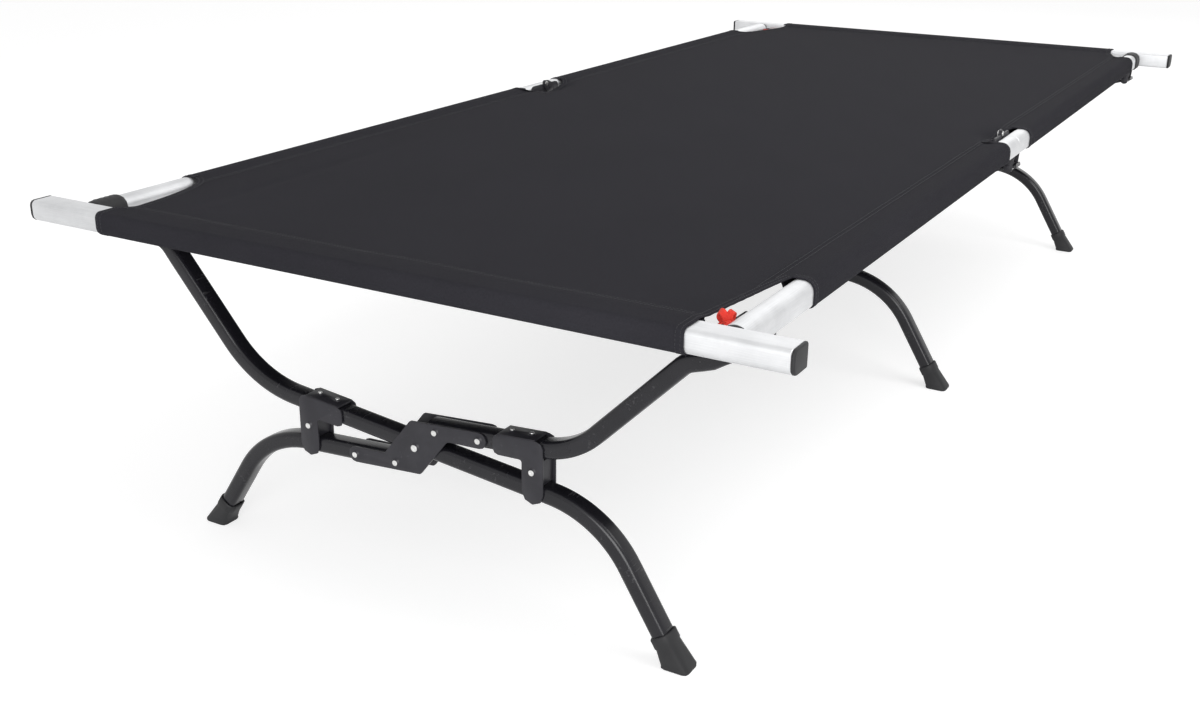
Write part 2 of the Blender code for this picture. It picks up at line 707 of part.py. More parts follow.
def rivet_places(side):
    """The two rivets that hold a half leg in the hub plates."""
    return [(side * x, half_line(side * x)) for x in (RIVET_INNER_X, RIVET_OUTER_X)]


def half_leg(name, side, y, parent, place):
    """A half tube, from the hub plates up to the right rail or down to the left foot."""
    start = side * HALF_INNER_END
    if side > 0:
        corner = (HALF_UPPER_CORNER, half_line(HALF_UPPER_CORNER))
        stations = upper_arm_path(1, corner, HALF_UPPER_BEND, HALF_UPPER_SLOPE, (start, half_line(start)))
        tube = leg_eye(leg_tube(name, stations, y, True, parent, place), 1, y)
    else:
        corner = (-HALF_LOWER_CORNER, half_line(-HALF_LOWER_CORNER))
        stations = bent_path([(start, half_line(start), 0)] + foot_path(-1, corner, HALF_LOWER_SLOPE))
        tube = leg_tube(name, stations, y, False, parent, place)
    holes = [rod((x, y - 0.02, z), (x, y + 0.02, z), RIVET_RADIUS + FIT, 10) for x, z in rivet_places(side)]
    return cut(tube, *holes)


EYE_RADIUS = 0.0066


def leg_eye(tube, side, y):
    """The rolled eye on a crushed end, bored for the hanger's pin."""
    ends = [(side * LEG_PIVOT_X, y + s * (FLAT_DEPTH / 2 - 0.0004), LEG_PIVOT_Z) for s in (-1, 1)]
    add(tube, rod(*ends, EYE_RADIUS, 14))
    bore = [(side * LEG_PIVOT_X, y + s * FLAT_DEPTH, LEG_PIVOT_Z) for s in (-1, 1)]
    return cut(tube, rod(*bore, HANGER_PIN_RADIUS + FIT, 12))


def hub_outline():
    """The Z of a hub plate: two arms along the half legs, joined across the pivot."""
    along_arm = Vector((math.cos(HALF_SLOPE), math.sin(HALF_SLOPE)))
    across = Vector((-along_arm.y, along_arm.x))
    inner = Vector((RIVET_INNER_X, HALF_OFFSET))
    outer = Vector((RIVET_OUTER_X, half_line(RIVET_OUTER_X) - HUB_Z))
    end = 0.0105
    half = [
        (inner - along_arm * 0.0365 + across * 0.0095, 0.005),
        (outer + along_arm * end + across * end, end * 0.95),
        (outer + along_arm * end - across * end, end * 0.95),
        (inner + along_arm * 0.0170 - across * 0.0095, 0.008),
    ]
    corners = [(p.x, p.y, r) for p, r in half] + [(-p.x, -p.y, r) for p, r in half]
    return [(x, HUB_Z + z) for x, z in fillet_outline(corners)]


def plate_layer(y, side):
    """Inner and outer faces of the plates beside the leg tubes."""
    inner = TUBE_DEPTH / 2 + CLEARANCE
    return y + side * inner, y + side * (inner + PLATE_THICK)


def hub_plate_front(name, y, parent, place):
    """The front hub plate, with the pivot and the four rivets that go through to the rear one."""
    near, far = plate_layer(y, -1)
    plate = piece(name, extrude_outline(hub_outline(), near, far), PLATE, place, parent)
    span = 2 * (TUBE_DEPTH / 2 + CLEARANCE + PLATE_THICK) + CLEARANCE
    shanks = []
    spots = [(x, z, RIVET_RADIUS, RIVET_HEAD) for side in (1, -1) for x, z in rivet_places(side)]
    for x, z, radius, head in spots + [(0, HUB_Z, HUB_RIVET_RADIUS, 0.0075)]:
        profile = (
            (-RIVET_DOME, head * 0.6), (0.0002, head), (0.0002, radius),
            (span, radius), (span, head), (span + RIVET_DOME, head * 0.6),
        )
        shanks.append(turned((x, far, z), (0, 1, 0), profile, 8))
    return add(plate, *shanks)


def hub_plate_rear(name, y, parent, place):
    """The rear hub plate, bored for the rivets."""
    near, far = plate_layer(y, 1)
    plate = piece(name, extrude_outline(hub_outline(), near, far), PLATE, place, parent)
    spots = [(x, z, RIVET_RADIUS) for side in (1, -1) for x, z in rivet_places(side)]
    holes = []
    for x, z, radius in spots + [(0, HUB_Z, HUB_RIVET_RADIUS)]:
        holes.append(rod((x, near - 0.01, z), (x, far + 0.01, z), radius + CLEARANCE, 10))
    return cut(plate, *holes)


def saddle(name, side, y, parent, place):
    """A channel over an upper arm whose cheeks straddle the lower leg, with the stop block between them."""
    above, below = (half_line, s_line) if side > 0 else (s_line, half_line)

    def upper(x):
        return above(side * x)

    def lower(x):
        return below(side * x)

    arm_start = SADDLE_X - SADDLE_LEG_WIDTH / 2 - SADDLE_ARM + 0.010
    leg_in, leg_out = SADDLE_X - SADDLE_LEG_WIDTH / 2, SADDLE_X + SADDLE_LEG_WIDTH / 2
    half = TUBE_HEIGHT / 2
    low = lower(SADDLE_X) - half - SADDLE_BELOW
    cheek = fillet_outline((
        (arm_start, upper(arm_start) - half - 0.002, 0.007),
        (arm_start, upper(arm_start) + half + 0.0014, 0.007),
        (leg_out, upper(leg_out) + half + 0.0014, 0.009),
        (leg_out, low, SADDLE_LEG_WIDTH * 0.48),
        (leg_in, low, SADDLE_LEG_WIDTH * 0.48),
        (leg_in, upper(leg_in) - half - 0.003, 0.003),
    ), 2)
    cheek = [(side * x, z) for x, z in cheek]
    layers = [(y + s * (TUBE_DEPTH / 2 + CLEARANCE), y + s * (TUBE_DEPTH / 2 + CLEARANCE + SADDLE_THICK))
              for s in (-1, 1)]
    bracket = piece(name, extrude_outline(cheek, *layers[0]), PLATE, place, parent)
    web_in, web_out = arm_start + 0.006, SADDLE_X + 0.003
    web = [
        (web_in, upper(web_in) + half + CLEARANCE), (web_out, upper(web_out) + half + CLEARANCE),
        (web_out, upper(web_out) + half + CLEARANCE + SADDLE_THICK),
        (web_in, upper(web_in) + half + CLEARANCE + SADDLE_THICK),
    ]
    block_in, block_out = SADDLE_X - 0.011, SADDLE_X + 0.011
    block = [
        (block_in, lower(block_in) + half + CLEARANCE), (block_out, lower(block_out) + half + CLEARANCE),
        (block_out, upper(block_out) - half - 0.003), (block_in, upper(block_in) - half - 0.003),
    ]
    wide = [y + s * (TUBE_DEPTH / 2 + CLEARANCE + SADDLE_THICK * 0.7) for s in (-1, 1)]
    tight = [y + s * (TUBE_DEPTH / 2 + CLEARANCE + SADDLE_THICK * 0.5) for s in (-1, 1)]
    add(bracket, extrude_outline(cheek, *layers[1]))
    add(bracket, extrude_outline([(side * x, z) for x, z in web], *wide))
    add(bracket, extrude_outline([(side * x, z) for x, z in block], *tight))
    middle = (upper(SADDLE_X) + lower(SADDLE_X)) / 2
    heads = []
    for s in (-1, 1):
        face = y + s * (TUBE_DEPTH / 2 + CLEARANCE + SADDLE_THICK - 0.0002)
        heads.append(rivet((side * SADDLE_X, face, middle), (0, s, 0), 0.001))
    for x in (web_in + 0.012, web_out - 0.012):
        top = upper(x) + half + CLEARANCE + SADDLE_THICK - 0.0002
        heads.append(rivet((side * x, y, top), (0, 0, 1), 0.001, 0.0025, 0.0045))
    return add(bracket, *heads)


def shoe(name, side, corner, slope, y, parent, place):
    """A moulded shoe over a leg's end, spreading to a flat sole."""
    run = 1 / math.tan(slope)

    def middle(z):
        return abs(corner[0]) + (corner[1] - z) * run

    angle = -slope if side > 0 else math.pi + slope
    rim = SHOE_LENGTH * math.sin(slope)
    rings = []
    for z, grow in ((rim, SHOE_WALL - 0.0012), (rim - 0.0012, SHOE_WALL),
                    (rim - 0.011, SHOE_WALL), (rim - 0.0125, SHOE_WALL - 0.001)):
        rings.append(tube_ring((side * middle(z), z, angle), y, TUBE_HEIGHT + 2 * grow,
                               TUBE_DEPTH + 2 * grow, TUBE_CORNER + grow))
    sole = side * (middle(0) - 0.002)
    for z, width in ((SHOE_SOLE * 0.8, SHOE_PAD), (0.0012, SHOE_PAD), (0, SHOE_PAD - 0.003)):
        ring = rounded_outline(SHOE_PAD_DEPTH - (SHOE_PAD - width), width, TUBE_CORNER, 2)
        rings.append([Vector((sole + b, y + a, z)) for a, b in ring])
    boot = piece(name, loft(rings), RUBBER, place, parent)
    socket = [tube_ring((side * middle(z), z, angle), y, TUBE_HEIGHT + 2 * CLEARANCE,
                        TUBE_DEPTH + 2 * CLEARANCE, TUBE_CORNER)
              for z in (rim + 0.01, TUBE_END_Z - CLEARANCE)]
    return cut(boot, loft(socket))


def under_fitting(side, y):
    """How much lower a hanger sits where the ribbed fitting comes between it and the rail."""
    inside = side * y > 0 and abs(y) + HANGER_WIDTH / 2 > BAR_FACE - FITTING_LENGTH
    return FITTING_RIB if inside else 0.0


def hanger(name, side, y, parent, place):
    """A clevis riveted under a rail, with the pin that the leg's eye turns on."""
    gap = FLAT_DEPTH / 2 + CLEARANCE
    x = side * LEG_PIVOT_X
    top = RAIL_Z - RAIL_SIZE / 2 - under_fitting(side, y) - CLEARANCE
    low = LEG_PIVOT_Z - 0.0075
    half = HANGER_WIDTH / 2
    plate = extrude_outline(rounded_outline(HANGER_WIDTH, 2 * (gap + HANGER_THICK), 0.002, 1, (x, y)),
                            top - HANGER_THICK, top, "Z")
    bracket = piece(name, plate, PLATE, place, parent)
    cheek = fillet_outline((
        (x - half, top - 0.001, 0), (x - half, top - 0.007, 0.004), (x - 0.0065, low, 0.005),
        (x + 0.0065, low, 0.005), (x + half, top - 0.007, 0.004), (x + half, top - 0.001, 0),
    ), 2)
    for s in (-1, 1):
        add(bracket, extrude_outline(cheek, y + s * gap, y + s * (gap + HANGER_THICK)))
    reach = gap + HANGER_THICK
    pin = ((-reach - 0.0015, 0.0045), (-reach + 0.0002, 0.0055), (-reach + 0.0002, HANGER_PIN_RADIUS),
           (reach - 0.0002, HANGER_PIN_RADIUS), (reach - 0.0002, 0.0055), (reach + 0.0015, 0.0045))
    add(bracket, turned((x, y, LEG_PIVOT_Z), (0, 1, 0), pin, 8))
    stem = ((0, HANGER_RIVET), (HANGER_THICK + 0.005 + under_fitting(side, y), HANGER_RIVET))
    return add(bracket, turned((x, y, top - HANGER_THICK + 0.0005), (0, 0, 1), stem, 8))


def rail_floor_hole(side, y):
    """A cutter for a hanger's rivet in a rail's underside."""
    low = RAIL_Z - RAIL_SIZE / 2
    x = side * LEG_PIVOT_X
    return rod((x, y, low - 0.006), (x, y, low + 0.004), HANGER_RIVET + FIT, 10)


def sheet_height(x):
    """Top of the canvas across the bed, with its slight sag."""
    spread = RAIL_X - RAIL_SIZE / 2
    return BED_HEIGHT + SLEEVE_GAP + CLOTH - CANVAS_SAG * (1 - min(1, abs(x) / spread) ** 2)


def canvas_section():
    """The canvas across the bed: a sheet with a closed sleeve at each rail, and the two bores."""
    sleeve = rail_outline(1, SLEEVE_GAP + CLOTH)
    arc_points = len(sleeve) // 4
    top_inner = sleeve[2 * arc_points:3 * arc_points]
    around = top_inner[1:] + sleeve[3 * arc_points:] + sleeve[:2 * arc_points] + top_inner[:1]
    spots = [(RAIL_X - RAIL_SIZE / 2 - 0.006) * (1 - k / 5) for k in range(11)]
    above = [(x, sheet_height(x)) for x in spots]
    below = [(x, z - CLOTH - 0.0003) for x, z in reversed(above)]
    outline = around + above + [(-x, z) for x, z in reversed(around)] + below
    return outline, [rail_outline(side, SLEEVE_GAP) for side in (-1, 1)]


def slab_with_bores(outline, bores, low, high):
    """An outline with holes, drawn out along the bed."""
    bm = bmesh.new()
    for ring in [outline] + bores:
        loops = [[bm.verts.new((x, y, z)) for x, z in ring] for y in (low, high)]
        count = len(ring)
        for k in range(count):
            bm.faces.new((loops[0][k], loops[0][(k + 1) % count], loops[1][(k + 1) % count], loops[1][k]))
    for y in (low, high):
        rim = [e for e in bm.edges if all(abs(v.co.y - y) < 1e-6 for v in e.verts)]
        bmesh.ops.triangle_fill(bm, edges=rim, use_beauty=True)
    return mesh_from(bm)


def bite(side, start, stop, reach_in, hollow):
    """A cutter for a canvas corner, seen from above: a curve from the rail's inner side to the cloth's edge."""
    reach_out = RAIL_X - RAIL_SIZE / 2 + 0.003
    power = 2 - hollow
    points = []
    for k in range(9):
        t = math.radians(90 * k / 8)
        points.append((side * (reach_out - (reach_out - reach_in) * abs(math.sin(t)) ** power),
                       stop + (start - stop) * abs(math.cos(t)) ** power))
    over = stop + math.copysign(0.02, stop - start)
    points += [(side * reach_in, over), (side * 0.6, over), (side * 0.6, start)]
    return extrude_outline(points, BED_HEIGHT - 0.1, BED_HEIGHT + 0.1, "Z")


def canvas_half(name, end, parent, place):
    """Half of the canvas, from the fold line to its end sleeve, with its corners and notches cut away."""
    outline, bores = canvas_section()
    seam = BAR_FACE - SLEEVE_GAP - CLOTH / 2
    low, high = sorted((end * FOLD_GAP, end * seam))
    cloth = piece(name, slab_with_bores(outline, bores, low, high), CANVAS, place, parent)
    inner_side = RAIL_X - RAIL_SIZE / 2
    for side in (-1, 1):
        sleeve_end, edge, hollow = CORNER_CUTS[end, side]
        cut(cloth, bite(side, end * sleeve_end, end * (BAR_FACE + 0.002), edge, hollow))
        notch_in = inner_side - NOTCH_DEPTH
        notch = [(side * 0.6, -end * 0.01), (side * notch_in, -end * 0.01), (side * notch_in, end * 0.050),
                 (side * (inner_side - 0.001), end * NOTCH_HALF), (side * 0.6, end * NOTCH_HALF)]
        cut(cloth, extrude_outline(notch, BED_HEIGHT - 0.1, BED_HEIGHT + 0.1, "Z"))
    span = (-BAR_SLEEVE_REACH[end, -1], BAR_SLEEVE_REACH[end, 1])
    outer = [along(bar_outline(end, SLEEVE_GAP + CLOTH), "X", x) for x in span]
    bore = [along(bar_outline(end, SLEEVE_GAP), "X", x) for x in span]
    return add(cloth, hollow_loft(outer, bore, True, True))


def leg_set(label, y, left_rail, right_rail):
    """One scissor leg set between the rails, its S leg hung on the left and its half legs on the right."""
    left_pivot = (-LEG_PIVOT_X, y, LEG_PIVOT_Z)
    hub = (0, y, HUB_Z)
    hanger(f"hanger_left_{label}", -1, y, left_rail, left_pivot)
    swing = joint_empty(f"pivot_{label}", left_pivot, left_rail)
    scissor = joint_empty(f"hub_{label}", hub, swing)
    s_leg(f"s_leg_{label}", y, swing, left_pivot)
    saddle(f"saddle_left_{label}", -1, y, swing, left_pivot)
    lower = (S_LOWER_CORNER, s_line(S_LOWER_CORNER))
    shoe(f"shoe_right_{label}", 1, lower, S_LOWER_SLOPE, y, swing, left_pivot)
    half_leg(f"upper_leg_{label}", 1, y, scissor, hub)
    half_leg(f"lower_leg_{label}", -1, y, scissor, hub)
    hub_plate_front(f"hub_plate_front_{label}", y, scissor, hub)
    hub_plate_rear(f"hub_plate_rear_{label}", y, scissor, hub)
    saddle(f"saddle_right_{label}", 1, y, scissor, hub)
    lower = (-HALF_LOWER_CORNER, half_line(-HALF_LOWER_CORNER))
    shoe(f"shoe_left_{label}", -1, lower, HALF_LOWER_SLOPE, y, scissor, hub)
    if right_rail is None:
        right_rail = joint_empty("right_rear", (LEG_PIVOT_X, y, LEG_PIVOT_Z), scissor)
    hanger(f"hanger_right_{label}", 1, y, right_rail, (LEG_PIVOT_X, y, LEG_PIVOT_Z))
    return right_rail


def rail_holes(rail, side, end, label_places):
    """Holes in a rail for its hinge leaf's rivet, its hangers' rivets and, at an arm, the arm's shank."""
    face = inner_face(side)
    holes = [wall_hole((face, end * LEAF_RIVET_Y, LEAF_RIVET_Z), (side, 0, 0), 0.0028 + FIT)]
    holes += [rail_floor_hole(side, y) for y in label_places]
    if side != end:
        holes.append(wall_hole(arm_pivot(side, end), (side, 0, 0), ARM_SHANK_RADIUS + FIT))
    cut(rail, *holes)


def cot():
    """The whole cot, from the left rear rail outwards."""
    places = dict(LEG_SETS)
    left_rear = joint_empty("left_rear", (-RAIL_X, 0, RAIL_Z))
    right_rear = leg_set("middle", places["middle"], left_rear, None)
    fold = {side: joint_empty(f"fold_{name}", (side * RAIL_X, 0, PIN_Z), rail)
            for side, name, rail in ((-1, "left", left_rear), (1, "right", right_rear))}
    leg_set("head_end", places["head_end"], left_rear, right_rear)
    leg_set("foot_end", places["foot_end"], fold[-1], fold[1])
    frames = {(-1, 1): left_rear, (1, 1): right_rear, (-1, -1): fold[-1], (1, -1): fold[1]}
    for (side, end), frame in frames.items():
        side_name = "left" if side < 0 else "right"
        half_name = "front" if end < 0 else "rear"
        corner = f"{'foot' if end < 0 else 'head'}_{side_name}"
        place = tuple(frame["place"])
        rail = side_rail(f"rail_{half_name}_{side_name}", side, end, frame, place)
        own = [y for y in places.values() if (y < 0) == (end < 0)]
        rail_holes(rail, side, end, own)
        hinge_leaf(f"hinge_{half_name}_{side_name}", side, end, 0 if end < 0 else 1, frame, place)
        if end > 0:
            hinge_pin(f"hinge_pin_{side_name}", side, frame, (side * RAIL_X, 0, PIN_Z))
        if side == end:
            corner_fitting(f"corner_fitting_{corner}", side, end, frame, place)
            bar_place = (side * RAIL_X, end * BAR_Y, BAR_Z)
            bar_slide = joint_empty(f"bar_slide_{corner}", bar_place, frame)
            bar = "foot_bar" if end < 0 else "head_bar"
            end_bar(bar, end, bar_slide, bar_place)
            for cap_side, cap_name in ((-1, "left"), (1, "right")):
                bar_cap(f"{bar}_cap_{cap_name}", cap_side, end, bar_slide, bar_place)
        else:
            rail_plug(f"rail_plug_{corner}", side, end, frame, place)
            pivot = joint_empty(f"arm_pivot_{corner}", arm_pivot(side, end), frame)
            arm = f"{'foot' if end < 0 else 'head'}"
            pivot_arm(f"pivot_arm_{arm}", side, end, pivot, arm_pivot(side, end))
            pull_strap(f"pull_strap_{arm}", side, end, pivot, arm_pivot(side, end))
    canvas_half("canvas_front", -1, fold[-1], tuple(fold[-1]["place"]))
    canvas_half("canvas_rear", 1, left_rear, tuple(left_rear["place"]))


cot()
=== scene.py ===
import json
import math

import bmesh
import bpy
import mathutils
import numpy as np
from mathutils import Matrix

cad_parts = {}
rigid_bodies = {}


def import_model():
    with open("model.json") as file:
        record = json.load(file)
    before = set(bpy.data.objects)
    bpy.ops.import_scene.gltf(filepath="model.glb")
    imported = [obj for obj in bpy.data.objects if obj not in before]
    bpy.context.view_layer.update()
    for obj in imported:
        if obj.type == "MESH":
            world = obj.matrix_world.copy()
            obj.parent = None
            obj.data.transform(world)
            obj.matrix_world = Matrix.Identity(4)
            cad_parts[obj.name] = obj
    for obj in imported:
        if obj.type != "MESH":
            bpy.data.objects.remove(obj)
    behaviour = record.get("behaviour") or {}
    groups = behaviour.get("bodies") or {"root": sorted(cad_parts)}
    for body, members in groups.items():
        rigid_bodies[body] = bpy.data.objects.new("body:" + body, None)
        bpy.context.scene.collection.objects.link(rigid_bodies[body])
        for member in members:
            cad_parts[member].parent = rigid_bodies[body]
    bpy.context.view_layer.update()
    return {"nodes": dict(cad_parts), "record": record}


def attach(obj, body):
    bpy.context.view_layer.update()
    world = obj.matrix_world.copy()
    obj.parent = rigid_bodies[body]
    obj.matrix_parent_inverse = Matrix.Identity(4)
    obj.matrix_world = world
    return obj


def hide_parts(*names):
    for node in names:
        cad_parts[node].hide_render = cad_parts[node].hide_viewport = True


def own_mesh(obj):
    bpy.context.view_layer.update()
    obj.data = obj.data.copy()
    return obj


for leftOver in list(bpy.data.objects):
    bpy.data.objects.remove(leftOver)
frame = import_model()
nodes = frame["nodes"]
slotOf = {part["node"]: part["material_slot"] for part in frame["record"]["subparts"]}
bodyOf = {}
for body, members in frame["record"]["behaviour"]["bodies"].items():
    bodyOf.update({member: body for member in members})
print("frame loaded with", len(nodes), "parts")

# sizes shared by several pieces, in metres
cot = dict(
    bedTop=0.458,
    railX=0.442, railSize=0.029, railRound=0.0125, railLowRound=0.005,
    barY=1.0627, barDepth=0.034, barHeight=0.0274, barLength=1.038,
    barRounds=(0.003, 0.010, 0.0065),       # inner edges, lower outer edge, upper outer edge
    wall=0.0016, capThick=0.004, gap=0.0003, rimEase=0.0007,
    legPlaces=dict(foot_end=-0.965, middle=0.034, head_end=1.026),
    hubZ=0.199, pivotX=0.438, pivotZ=0.403,
)
cot["railZ"] = cot["bedTop"] - cot["railSize"] / 2
cot["barZ"] = cot["bedTop"] - cot["barHeight"] / 2
cot["barFace"] = cot["barY"] - cot["barDepth"] / 2
cot["railInside"] = cot["railX"] - cot["railSize"] / 2


# shader groups


def newGroup(name, inputs, outputs):
    # a shader group whose inputs and outputs are named numbers
    group = bpy.data.node_groups.new(name, "ShaderNodeTree")
    for label, value in inputs.items():
        socket = group.interface.new_socket(label, in_out="INPUT", socket_type="NodeSocketFloat")
        socket.default_value = value
    for label in outputs:
        group.interface.new_socket(label, in_out="OUTPUT", socket_type="NodeSocketFloat")
    return group, group.nodes.new("NodeGroupInput"), group.nodes.new("NodeGroupOutput")


def mathNode(tree, operation, first, second=None, clamp=False):
    node = tree.nodes.new("ShaderNodeMath")
    node.operation = operation
    node.use_clamp = clamp
    for socket, value in zip(node.inputs, (first, second)):
        if value is None:
            continue
        if isinstance(value, (int, float)):
            socket.default_value = value
        else:
            tree.links.new(value, socket)
    return node.outputs[0]


def mixOf(tree, first, firstShare, second, secondShare):
    # first times its share plus second times its share
    return mathNode(tree, "ADD", mathNode(tree, "MULTIPLY", first, firstShare),
                    mathNode(tree, "MULTIPLY", second, secondShare))


def noiseNode(tree, vector, scale, detail=2.0, rough=0.5):
    node = tree.nodes.new("ShaderNodeTexNoise")
    node.inputs["Detail"].default_value = detail
    node.inputs["Roughness"].default_value = rough
    if isinstance(scale, (int, float)):
        node.inputs["Scale"].default_value = scale
    else:
        tree.links.new(scale, node.inputs["Scale"])
    tree.links.new(vector, node.inputs["Vector"])
    return node.outputs["Fac"]


# the shader groups' own numbers: noise scales, and a gain and a base for the streaks
textures = dict(
    wideScale=0.13,                         # the grain's wide noise, as a share of the fine one's scale
    smudgeDetail=(4.0, 0.6), streakScale=(260.0, 22.0, 260.0), streakTurn=(0.3, 0.2, 0.5),
    patchScale=31.0, patchBase=0.45, streakGain=14.0, unevenScale=420.0, unevenDetail=(3.0, 0.6),
)


def makeGrain():
    # fine grain of a moulded or coated surface: two noises added
    group, into, out = newGroup("surfaceGrain", {"Scale": 900.0, "Coarse": 0.3}, ["Height"])
    place = group.nodes.new("ShaderNodeTexCoord").outputs["Object"]
    fine = noiseNode(group, place, into.outputs["Scale"])
    wide = noiseNode(group, place, mathNode(group, "MULTIPLY", into.outputs["Scale"], textures["wideScale"]))
    mixed = mathNode(group, "ADD", fine, mathNode(group, "MULTIPLY", wide, into.outputs["Coarse"]))
    group.links.new(mixed, out.inputs["Height"])
    return group


def makeHandling():
    # marks of use: cloudy smudges, and thin streaks where two stretched noises cross a level
    group, into, out = newGroup("handlingMarks", {"Smudge Scale": 14.0, "Streak Level": 0.66},
                                ["Smudge", "Streak"])
    place = group.nodes.new("ShaderNodeTexCoord").outputs["Object"]
    smudge = noiseNode(group, place, into.outputs["Smudge Scale"], *textures["smudgeDetail"])
    mapping = group.nodes.new("ShaderNodeMapping")
    mapping.inputs["Scale"].default_value = textures["streakScale"]
    mapping.inputs["Rotation"].default_value = textures["streakTurn"]
    group.links.new(place, mapping.inputs["Vector"])
    lines = noiseNode(group, mapping.outputs["Vector"], 1.0)
    patches = noiseNode(group, place, textures["patchScale"])
    worn = mathNode(group, "MULTIPLY", lines, mathNode(group, "ADD", patches, textures["patchBase"]))
    over = mathNode(group, "SUBTRACT", worn, into.outputs["Streak Level"])
    streak = mathNode(group, "MULTIPLY", over, textures["streakGain"], clamp=True)
    group.links.new(smudge, out.inputs["Smudge"])
    group.links.new(streak, out.inputs["Streak"])
    return group


def makeWeave():
    # plain weave on the piece's own flat coordinates: warp and weft waves in turn; its colour output is
    # painted shade, darker in the gaps between yarns and lighter on their crowns, mixed with an uneven
    # yarn-by-yarn tone
    group, into, out = newGroup("plainWeave", {"Yarn": 0.00055}, ["Height", "PaintedShadeAndTone"])
    place = group.nodes.new("ShaderNodeTexCoord").outputs["UV"]
    split = group.nodes.new("ShaderNodeSeparateXYZ")
    group.links.new(place, split.inputs[0])
    across = mathNode(group, "DIVIDE", split.outputs["X"], into.outputs["Yarn"])
    along = mathNode(group, "DIVIDE", split.outputs["Y"], into.outputs["Yarn"])
    turns = [mathNode(group, "MULTIPLY", value, math.pi) for value in (across, along)]
    rise = mathNode(group, "MULTIPLY", mathNode(group, "SINE", turns[0]), mathNode(group, "SINE", turns[1]))
    bodies = [mathNode(group, "ABSOLUTE", mathNode(group, "SINE", turn)) for turn in turns]
    over = mathNode(group, "GREATER_THAN", rise, 0.0)
    under = mathNode(group, "SUBTRACT", 1.0, over)
    warp = mathNode(group, "MULTIPLY", bodies[0], over)
    weft = mathNode(group, "MULTIPLY", bodies[1], under)
    height = mathNode(group, "ADD", warp, weft)
    uneven = noiseNode(group, place, textures["unevenScale"], *textures["unevenDetail"])
    # the colour factor: painted shade from the yarns' height, dark in the gaps and light on the crowns, half
    # and half with uneven yarn tone
    paintedShadeAndTone = mixOf(group, height, 0.5, uneven, 0.5)
    group.links.new(height, out.inputs["Height"])
    group.links.new(paintedShadeAndTone, out.inputs["PaintedShadeAndTone"])
    return group


grainGroup, handlingGroup, weaveGroup = makeGrain(), makeHandling(), makeWeave()


def useGroup(tree, group, **values):
    node = tree.nodes.new("ShaderNodeGroup")
    node.node_tree = group
    for label, value in values.items():
        node.inputs[label.replace("_", " ")].default_value = value
    return node


def newMaterial(name, look):
    # a Principled shader; a look may also give metal, specular, coat (weight, roughness) and sheen
    material = bpy.data.materials.new(name)
    material.use_nodes = True
    tree = material.node_tree
    shader = tree.nodes["Principled BSDF"]
    shader.inputs["Roughness"].default_value = look["rough"]
    shader.inputs["Metallic"].default_value = look.get("metal", 0.0)
    shader.inputs["Specular IOR Level"].default_value = look.get("specular", 0.5)
    if "sheen" in look:
        shader.inputs["Sheen Weight"].default_value = look["sheen"][0]
        shader.inputs["Sheen Roughness"].default_value = look["sheen"][1]
        shader.inputs["Sheen Tint"].default_value = (*look["sheen"][2], 1)
    if "coat" in look:
        shader.inputs["Coat Weight"].default_value = look["coat"][0]
        shader.inputs["Coat Roughness"].default_value = look["coat"][1]
    return material, tree, shader


def colourFrom(tree, shader, factor, stops):
    # a factor read through a colour ramp of (position, colour) stops
    ramp = tree.nodes.new("ShaderNodeValToRGB")
    ends = ramp.color_ramp.elements
    ends[0].position, ends[0].color = stops[0][0], (*stops[0][1], 1)
    ends[1].position, ends[1].color = stops[-1][0], (*stops[-1][1], 1)
    for position, colour in stops[1:-1]:
        ends.new(position).color = (*colour, 1)
    tree.links.new(factor, ramp.inputs["Fac"])
    tree.links.new(ramp.outputs["Color"], shader.inputs["Base Color"])


def roughnessFrom(tree, shader, factor, span):
    spread = tree.nodes.new("ShaderNodeMapRange")
    spread.inputs["To Min"].default_value, spread.inputs["To Max"].default_value = span
    tree.links.new(factor, spread.inputs["Value"])
    tree.links.new(spread.outputs["Result"], shader.inputs["Roughness"])


def bumpFrom(tree, shader, height, bump):
    node = tree.nodes.new("ShaderNodeBump")
    node.inputs["Strength"].default_value, node.inputs["Distance"].default_value = bump
    tree.links.new(height, node.inputs["Height"])
    tree.links.new(node.outputs["Normal"], shader.inputs["Normal"])


def marksOf(tree, look):
    # smudges and streaks, from a look's (smudge scale, streak level)
    return useGroup(tree, handlingGroup, Smudge_Scale=look["marks"][0], Streak_Level=look["marks"][1])


clothLook = dict(
    rough=0.78, specular=0.03, yarn=0.0006, bump=(0.6, 0.00014), marks=(5.0, 0.9), roughSpan=(0.72, 0.86),
    shares=(0.75, 0.35),                    # of the weave's shade and of the smudges
    # the colours run from painted shade in the gaps between yarns to painted light on the yarn crowns, with
    # real smudges mixed in
    colours=[(0.25, (0.0125, 0.0122, 0.0148)), (0.85, (0.0320, 0.0312, 0.0370))],
)


def makeCanvasCloth(look):
    # plain weave in the colour, as painted shade between the yarns and lighter crowns with uneven yarn tone,
    # and in the bump; faint smudges in the colour and the gloss
    material, tree, shader = newMaterial("blackCanvasCloth", look)
    weave = useGroup(tree, weaveGroup, Yarn=look["yarn"])
    marks = marksOf(tree, look)
    mixed = mixOf(tree, weave.outputs["PaintedShadeAndTone"], look["shares"][0], marks.outputs["Smudge"], look["shares"][1])
    colourFrom(tree, shader, mixed, look["colours"])
    roughnessFrom(tree, shader, marks.outputs["Smudge"], look["roughSpan"])
    bumpFrom(tree, shader, weave.outputs["Height"], look["bump"])
    return material


webbingLook = dict(
    rough=0.7, specular=0.3, sheen=(0.3, 0.5, (1.0, 0.45, 0.35)), yarn=0.0011, bump=(0.8, 0.00035),
    # the colours run from painted shade in the yarn gaps to painted light on the yarn crowns
    colours=[(0.15, (0.30, 0.006, 0.004)), (0.5, (0.62, 0.020, 0.012)), (0.9, (0.83, 0.060, 0.035))],
)


